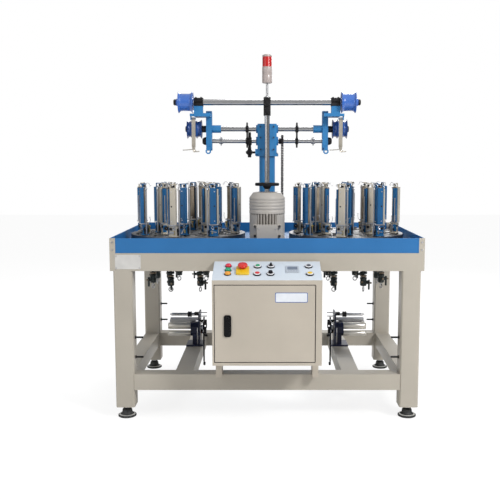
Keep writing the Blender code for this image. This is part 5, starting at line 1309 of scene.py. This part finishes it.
class BRAIDER_OT_cabinet(bpy.types.Operator):
    """Cabinet fittings: latch, black strips of painted shade in the gap round the door, bare plates and
    mounting screws
    """

    bl_idname = "braider.cabinet"
    bl_label = "Cabinet fittings"

    def execute(self, context):
        low, high = BOX["door_latch"]
        x, top, bottom, face = (low[0] + high[0]) / 2, high[2], low[2], BOX["cabinet_door"][0][1]
        latch = slab((x - 0.0165, x + 0.0165), (face - 0.0068, face - 0.0004), (bottom, top), 0.010, "Y",
                     0.0015)
        latch = latch + slab((x - 0.0095, x + 0.0095), (face - 0.0115, face - 0.0060),
                             (bottom + 0.008, top - 0.030),
                             0.006, "Y", 0.0018)
        latch = latch + lathe([(0.0070, 0), (0.0070, 0.0045), (0.0055, 0.0052)],
                              "Y", sides=24).moved(x, face - 0.0115, top - 0.016)
        piece("swing_latch", latch, coat("latch_black", (0.004, 0.004, 0.005), 0.30), "door_latch",
              ("door_latch",))

        plate = slab((0.0360, 0.1800), (face - 0.0016, face - 0.0003), (0.6000, 0.6440), 0.004, "Y", 0.0003)
        piece("door_plate_edge", plate, moulded("plate_blue", (0.035, 0.13, 0.42), 0.35), "cabinet_door")
        field = slab((0.0385, 0.1775), (face - 0.0022, face - 0.0014), (0.6025, 0.6415), 0.003, "Y", 0.0002)
        piece("door_plate_field", field, moulded("plate_white", (0.72, 0.75, 0.80), 0.35), "cabinet_door")
        (left, _, bottom), (right, _, top) = BOX["cabinet_door"]
        # Black strips round the door: painted shade standing in for the shadow in the gap between door and
        # cabinet.
        gap, width = 0.0004, 0.0030
        depth = (CABINET_FACE - 0.0004, CABINET_FACE + 0.0010)
        gap_shade_strips = [slab((left - gap - width, right + gap + width), depth, span, 0.0005, "Y", 0.0002)
                for span in ((top + gap, top + gap + width), (bottom - gap - width, bottom - gap))]
        gap_shade_strips += [slab(span, depth, (bottom - gap, top + gap), 0.0005, "Y", 0.0002)
                 for span in ((left - gap - width, left - gap), (right + 3 * gap, right + 3 * gap + width))]
        piece("door_seam", together(gap_shade_strips), black_plastic(), "root")
        beam = slab((-0.710, -0.590), (FRONT - 0.0012, FRONT - 0.0001), (0.722, 0.790), 0.003, "Y", 0.0002)
        piece("beam_plate", beam, moulded("plate_cream", (0.58, 0.57, 0.55), 0.4), "root")
        heads = [bolt(0.0060, 0.0050, at=(side * 0.226, FRONT - 0.036, 0.3120), way=-1) for side in (-1, 1)]
        heads += [screw(0.0030, 0.0020, "Y", (x, FRONT - 0.0012, z), -1)
                  for x in (-0.704, -0.596) for z in (0.728, 0.784)]
        piece("cabinet_bolts", together(heads), steel("Z", 0.5, "cabinet_screw_metal", 0.3), "root")
        return {"FINISHED"}


class BRAIDER_OT_feeds(bpy.types.Operator):
    """Yarn feed units: ground rollers, guide rods, discs, springs, lever and a spare bobbin"""

    bl_idname = "braider.feeds"
    bl_label = "Yarn feed units"

    def execute(self, context):
        bright = coat("roller_metal", (0.70, 0.67, 0.61), 0.30, 0.70, 30.0, 0.10, 900.0, 0.00003,
                      (0.06, 1, 1))
        thread = coat("orange_yarn", (0.36, 0.15, 0.05), 0.8, 0.0, 90.0, 0.25, 700.0, 0.0002, (0.2, 1, 1))
        for name, side in SIDES:
            for kind, radius in (("feed_roller", 0.0185), ("nip_roller", 0.0130)):
                _, y, z = AXIS[f"{kind}_{name}"]
                steps = [(radius - 0.002, 0.4204), (radius, 0.4224), (radius, 0.5380),
                         (radius - 0.0015, 0.5395),
                         (radius - 0.0015, 0.5410), (radius, 0.5425), (radius - 0.002, 0.5460),
                         (0.004, 0.5462)]
                roller = lathe(steps, "X", sides=40) + rod(0.0059, 0.4000, 0.4210, "X")
                body = f"{kind}_{name}"
                piece(f"{kind}_barrel_{name}", handed(roller, side).moved(0, y, z), bright, body,
                      (body,))
            y = FRONT
            rods = [
                rod(0.0092, 0.3770, 0.5380, "X", (0, y + 0.632, 0.3523), 24),
                lathe([(0.004, 0.3770), (0.0084, 0.3775), (0.0084, 0.5300), (0.0070, 0.5350),
                       (0.0015, 0.5450)],
                      "X", (0, y + 0.650, 0.3755), 20),
                rod(0.0135, 0.4000, 0.5440, "X", (0, y + 0.655, 0.3330), 32),
                slab((0.3800, 0.3850), (y + 0.560, y + 0.568), (0.226, 0.318), 0.002, "X"),
                slab((0.3640, 0.3700), (y + 0.585, y + 0.600), (0.350, 0.388), 0.002, "X"),
                eye(0.0080, 0.0022, "X", (0.3560, y + 0.556, 0.318), 16),
                eye(0.0062, 0.0018, "X", (0.3500, y + 0.560, 0.300), 16),
                rod(0.0026, 0.3320, 0.3720, "X", (0, y + 0.600, 0.3750), 10),
                rod(0.0026, 0.3320, 0.3720, "X", (0, y + 0.615, 0.3920), 10),
                coil(0.0060, 0.0011, 0.3480, 0.3700, 6, "X", (0, y + 0.640, 0.3350)),
                wire(smooth_path([(0.372, y + 0.560, 0.330), (0.364, y + 0.548, 0.338),
                                  (0.352, y + 0.544, 0.352),
                                  (0.343, y + 0.552, 0.366)]), 0.0020, 8),
                wire(smooth_path([(0.366, y + 0.640, 0.290), (0.356, y + 0.652, 0.302),
                                  (0.350, y + 0.650, 0.322),
                                  (0.356, y + 0.636, 0.340)]), 0.0018, 8),
                slab((0.3655, 0.3685), (y + 0.560, y + 0.572), (0.250, 0.370), 0.003, "X"),
                lathe([(0.004, 0.3660), (0.0105, 0.3662), (0.0105, 0.3680)], "X", (0, y + 0.566, 0.376), 20),
            ]
            blacks = [
                lathe([(0.0080, 0.4210), (0.0155, 0.4220), (0.0155, 0.4290), (0.0110, 0.4310),
                       (0.0155, 0.4330),
                       (0.0155, 0.4430), (0.0080, 0.4440)], "X", (0, y + 0.650, 0.3755), 28),
                carried(toothed(18, 0.0160, 0.0195), 0.3560, 0.3640, "X", (0, y + 0.600, 0.3050), 0.0005),
                carried(toothed(24, 0.0215, 0.0250), 0.3475, 0.3540, "X", (0, y + 0.618, 0.3420), 0.0005),
                rod(0.0060, 0.3450, 0.3690, "X", (0, y + 0.600, 0.3050), 18),
                rod(0.0050, 0.3450, 0.3690, "X", (0, y + 0.618, 0.3420), 18),
                slab((0.3450, 0.3530), (y + 0.573, y + 0.587), (0.125, 0.322), 0.003, "X"),
                lathe([(0.003, 0.3410), (0.0090, 0.3420), (0.0105, 0.3470), (0.0090, 0.3525),
                       (0.003, 0.3530)],
                      "X", (0, y + 0.580, 0.1120), 20),
                slab((0.3400, 0.3480), (y + 0.590, y + 0.640), (0.262, 0.272), 0.003, "X"),
                rod(0.0075, 0.3300, 0.3460, "X", (0, y + 0.600, 0.2670), 14),
                rod(0.0040, 0.3300, 0.3690, "X", (0, y + 0.560, 0.3600), 12),
                slab((0.3740, 0.4060), (y + 0.640, y + 0.660), (0.370, 0.388), 0.004, "X"),
                slab((0.3330, 0.3560), (y + 0.588, y + 0.600), (0.326, 0.352), 0.003, "X"),
                slab((0.3350, 0.3450), (y + 0.570, y + 0.592), (0.284, 0.318), 0.003, "X"),
                lathe([(0.004, 0.3330), (0.0170, 0.3340), (0.0170, 0.3380), (0.004, 0.3390)],
                      "X", (0, y + 0.606, 0.3230), 28),
            ]
            winding = [(0.0130 - 0.0005 * (k % 2), 0.3450 + 0.0011 * k) for k in range(15)]
            spool = [(0.0190, 0.3400), (0.0190, 0.3430), (0.0125, 0.3440)] + winding
            spool += [(0.0125, 0.3620), (0.0190, 0.3630), (0.0190, 0.3660)]
            for label, shells, material, slot in (
                ("feed_rods", rods, steel("X", 0.58, "rod_metal", 0.28), "machined_steel"),
                ("feed_gears", blacks, dark_steel(), "dark_steel"),
                ("feed_spool", [lathe(spool, "X", (0, y + 0.630, 0.2900), 28, edge=0.0003)], thread,
                 "dark_steel"),
            ):
                piece(f"{label}_{name}", handed(together(shells), side), material, "root")
        return {"FINISHED"}


class BRAIDER_OT_feet(bpy.types.Operator):
    """Levelling feet with threaded studs and lock nuts, and the creel pins on all four legs"""

    bl_idname = "braider.feet"
    bl_label = "Feet and pins"

    def execute(self, context):
        rubber = coat("foot_rubber", (0.020, 0.022, 0.022), 0.55, 0.0, 25.0, 0.3, 900.0, 0.00008)
        zinc = coat("zinc_plate", (0.52, 0.52, 0.50), 0.38, 0.2)
        stud_metal = steel("Z", 0.45, "stud_metal", 0.32)
        for end in ("front", "rear"):
            for name, side in SIDES:
                node = f"foot_{end}_{name}"
                low, high = BOX[node]
                at = ((low[0] + high[0]) / 2, (low[1] + high[1]) / 2, 0)
                disc = lathe([(0.0400, 0), (0.0435, 0.0020), (0.0435, 0.0085), (0.0400, 0.0105),
                              (0.0340, 0.0110),
                              (0.0250, 0.0200), (0.0230, 0.0340), (0.0180, 0.0400), (0.004, 0.0405)],
                             at=at, sides=48, edge=0.001)
                piece(f"foot_disc_{end}_{name}", disc, rubber, "root", (node,))
                thread = [(0.0088 - 0.0007 * (k % 2), 0.0205 + 0.0009 * k) for k in range(38)]
                stud = lathe(thread, at=at, sides=24, edge=0)
                hexagon = polar(0.0155, np.arange(6) * TURN / 6)
                nut = carried(hexagon, 0.0430, high[2] - 0.0002, at=at, edge=0.0008)
                ring = lathe([(0.0262, 0.0104), (0.0392, 0.0104), (0.0392, 0.0114), (0.0262, 0.0136)],
                             at=at, sides=48, ring=True, edge=0.0003)
                piece(f"foot_ring_{end}_{name}", ring, zinc, "root")
                piece(f"foot_stud_{end}_{name}", stud + nut, stud_metal, "root")
                pins, y = [], FRONT + (0.0445 if end == "front" else 0.9095)
                for height in (0.291, 0.387):
                    pin = rod(0.0046, 0.5925, 0.6310, "X", (0, y, height), 14)
                    pins.append(handed(pin + rod(0.0080, 0.6265, 0.6312, "X", (0, y, height), 18), side))
                piece(f"creel_pins_{end}_{name}", together(pins), dark_steel(), "root")
        return {"FINISHED"}


class BRAIDER_OT_fasteners(bpy.types.Operator):
    """Bolt heads on the corner angles, the deck rim and the take-up brackets"""

    bl_idname = "braider.fasteners"
    bl_label = "Fasteners"

    def execute(self, context):
        low, high = BOX["frame"]
        heads = []
        for name, side in SIDES:
            corner_x = side * (high[0] - 0.0135)
            for z in (0.812, 0.848):
                heads.append(screw(0.0045, 0.0020, "Y", (corner_x, low[1], z), -1))
                heads.append(screw(0.0045, 0.0020, "Y", (corner_x, high[1], z), 1))
            for y in (low[1] + 0.30, low[1] + 0.654):
                heads.append(bolt(0.0065, 0.0055, at=(side * (high[0] - 0.030), y, 0.8155)))
            bracket_rear = BOX[f"end_bracket_{name}"][1][1]
            for z in (1.300, 1.360, 1.440, 1.478):
                heads.append(screw(0.0040, 0.0035, "Y", (side * 0.3015, bracket_rear, z), 1))
        piece("machine_screws", together(heads), steel("Z", 0.5, "zinc_screws", 0.3), "root")
        return {"FINISHED"}


class BRAIDER_PT_panel(bpy.types.Panel):
    """Lists the steps that dress the machine, with their sizes and colours"""

    bl_idname = "BRAIDER_PT_panel"
    bl_label = "Rope braiding machine"
    bl_space_type = "VIEW_3D"
    bl_region_type = "UI"
    bl_category = "Braider"

    def draw(self, context):
        for step in STEPS:
            self.layout.operator(step.bl_idname)
        for group in (context.scene.braider_sizes, context.scene.braider_colours):
            for name in group.__annotations__:
                self.layout.prop(group, name)


STEPS = (
    BRAIDER_OT_stage, BRAIDER_OT_frame, BRAIDER_OT_tracks, BRAIDER_OT_carriers, BRAIDER_OT_motor,
    BRAIDER_OT_tower,
    BRAIDER_OT_wheels, BRAIDER_OT_shafts, BRAIDER_OT_chain, BRAIDER_OT_levers, BRAIDER_OT_lamp,
    BRAIDER_OT_console,
    BRAIDER_OT_cabinet, BRAIDER_OT_feeds, BRAIDER_OT_feet, BRAIDER_OT_fasteners,
)
CLASSES = (BraiderSizes, BraiderColours, *STEPS, BRAIDER_PT_panel)


def register():
    for entry in CLASSES:
        bpy.utils.register_class(entry)
    bpy.types.Scene.braider_sizes = PointerProperty(type=BraiderSizes)
    bpy.types.Scene.braider_colours = PointerProperty(type=BraiderColours)


def unregister():
    del bpy.types.Scene.braider_colours
    del bpy.types.Scene.braider_sizes
    for entry in reversed(CLASSES):
        bpy.utils.unregister_class(entry)


def main():
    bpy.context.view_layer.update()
    for obj in list(bpy.data.objects):
        if obj.name in ("Cube", "Camera", "Light"):
            bpy.data.objects.remove(obj)
    register()
    for step in STEPS:
        group, name = step.bl_idname.split(".")
        getattr(getattr(bpy.ops, group), name)()


if __name__ == "__main__":
    main()
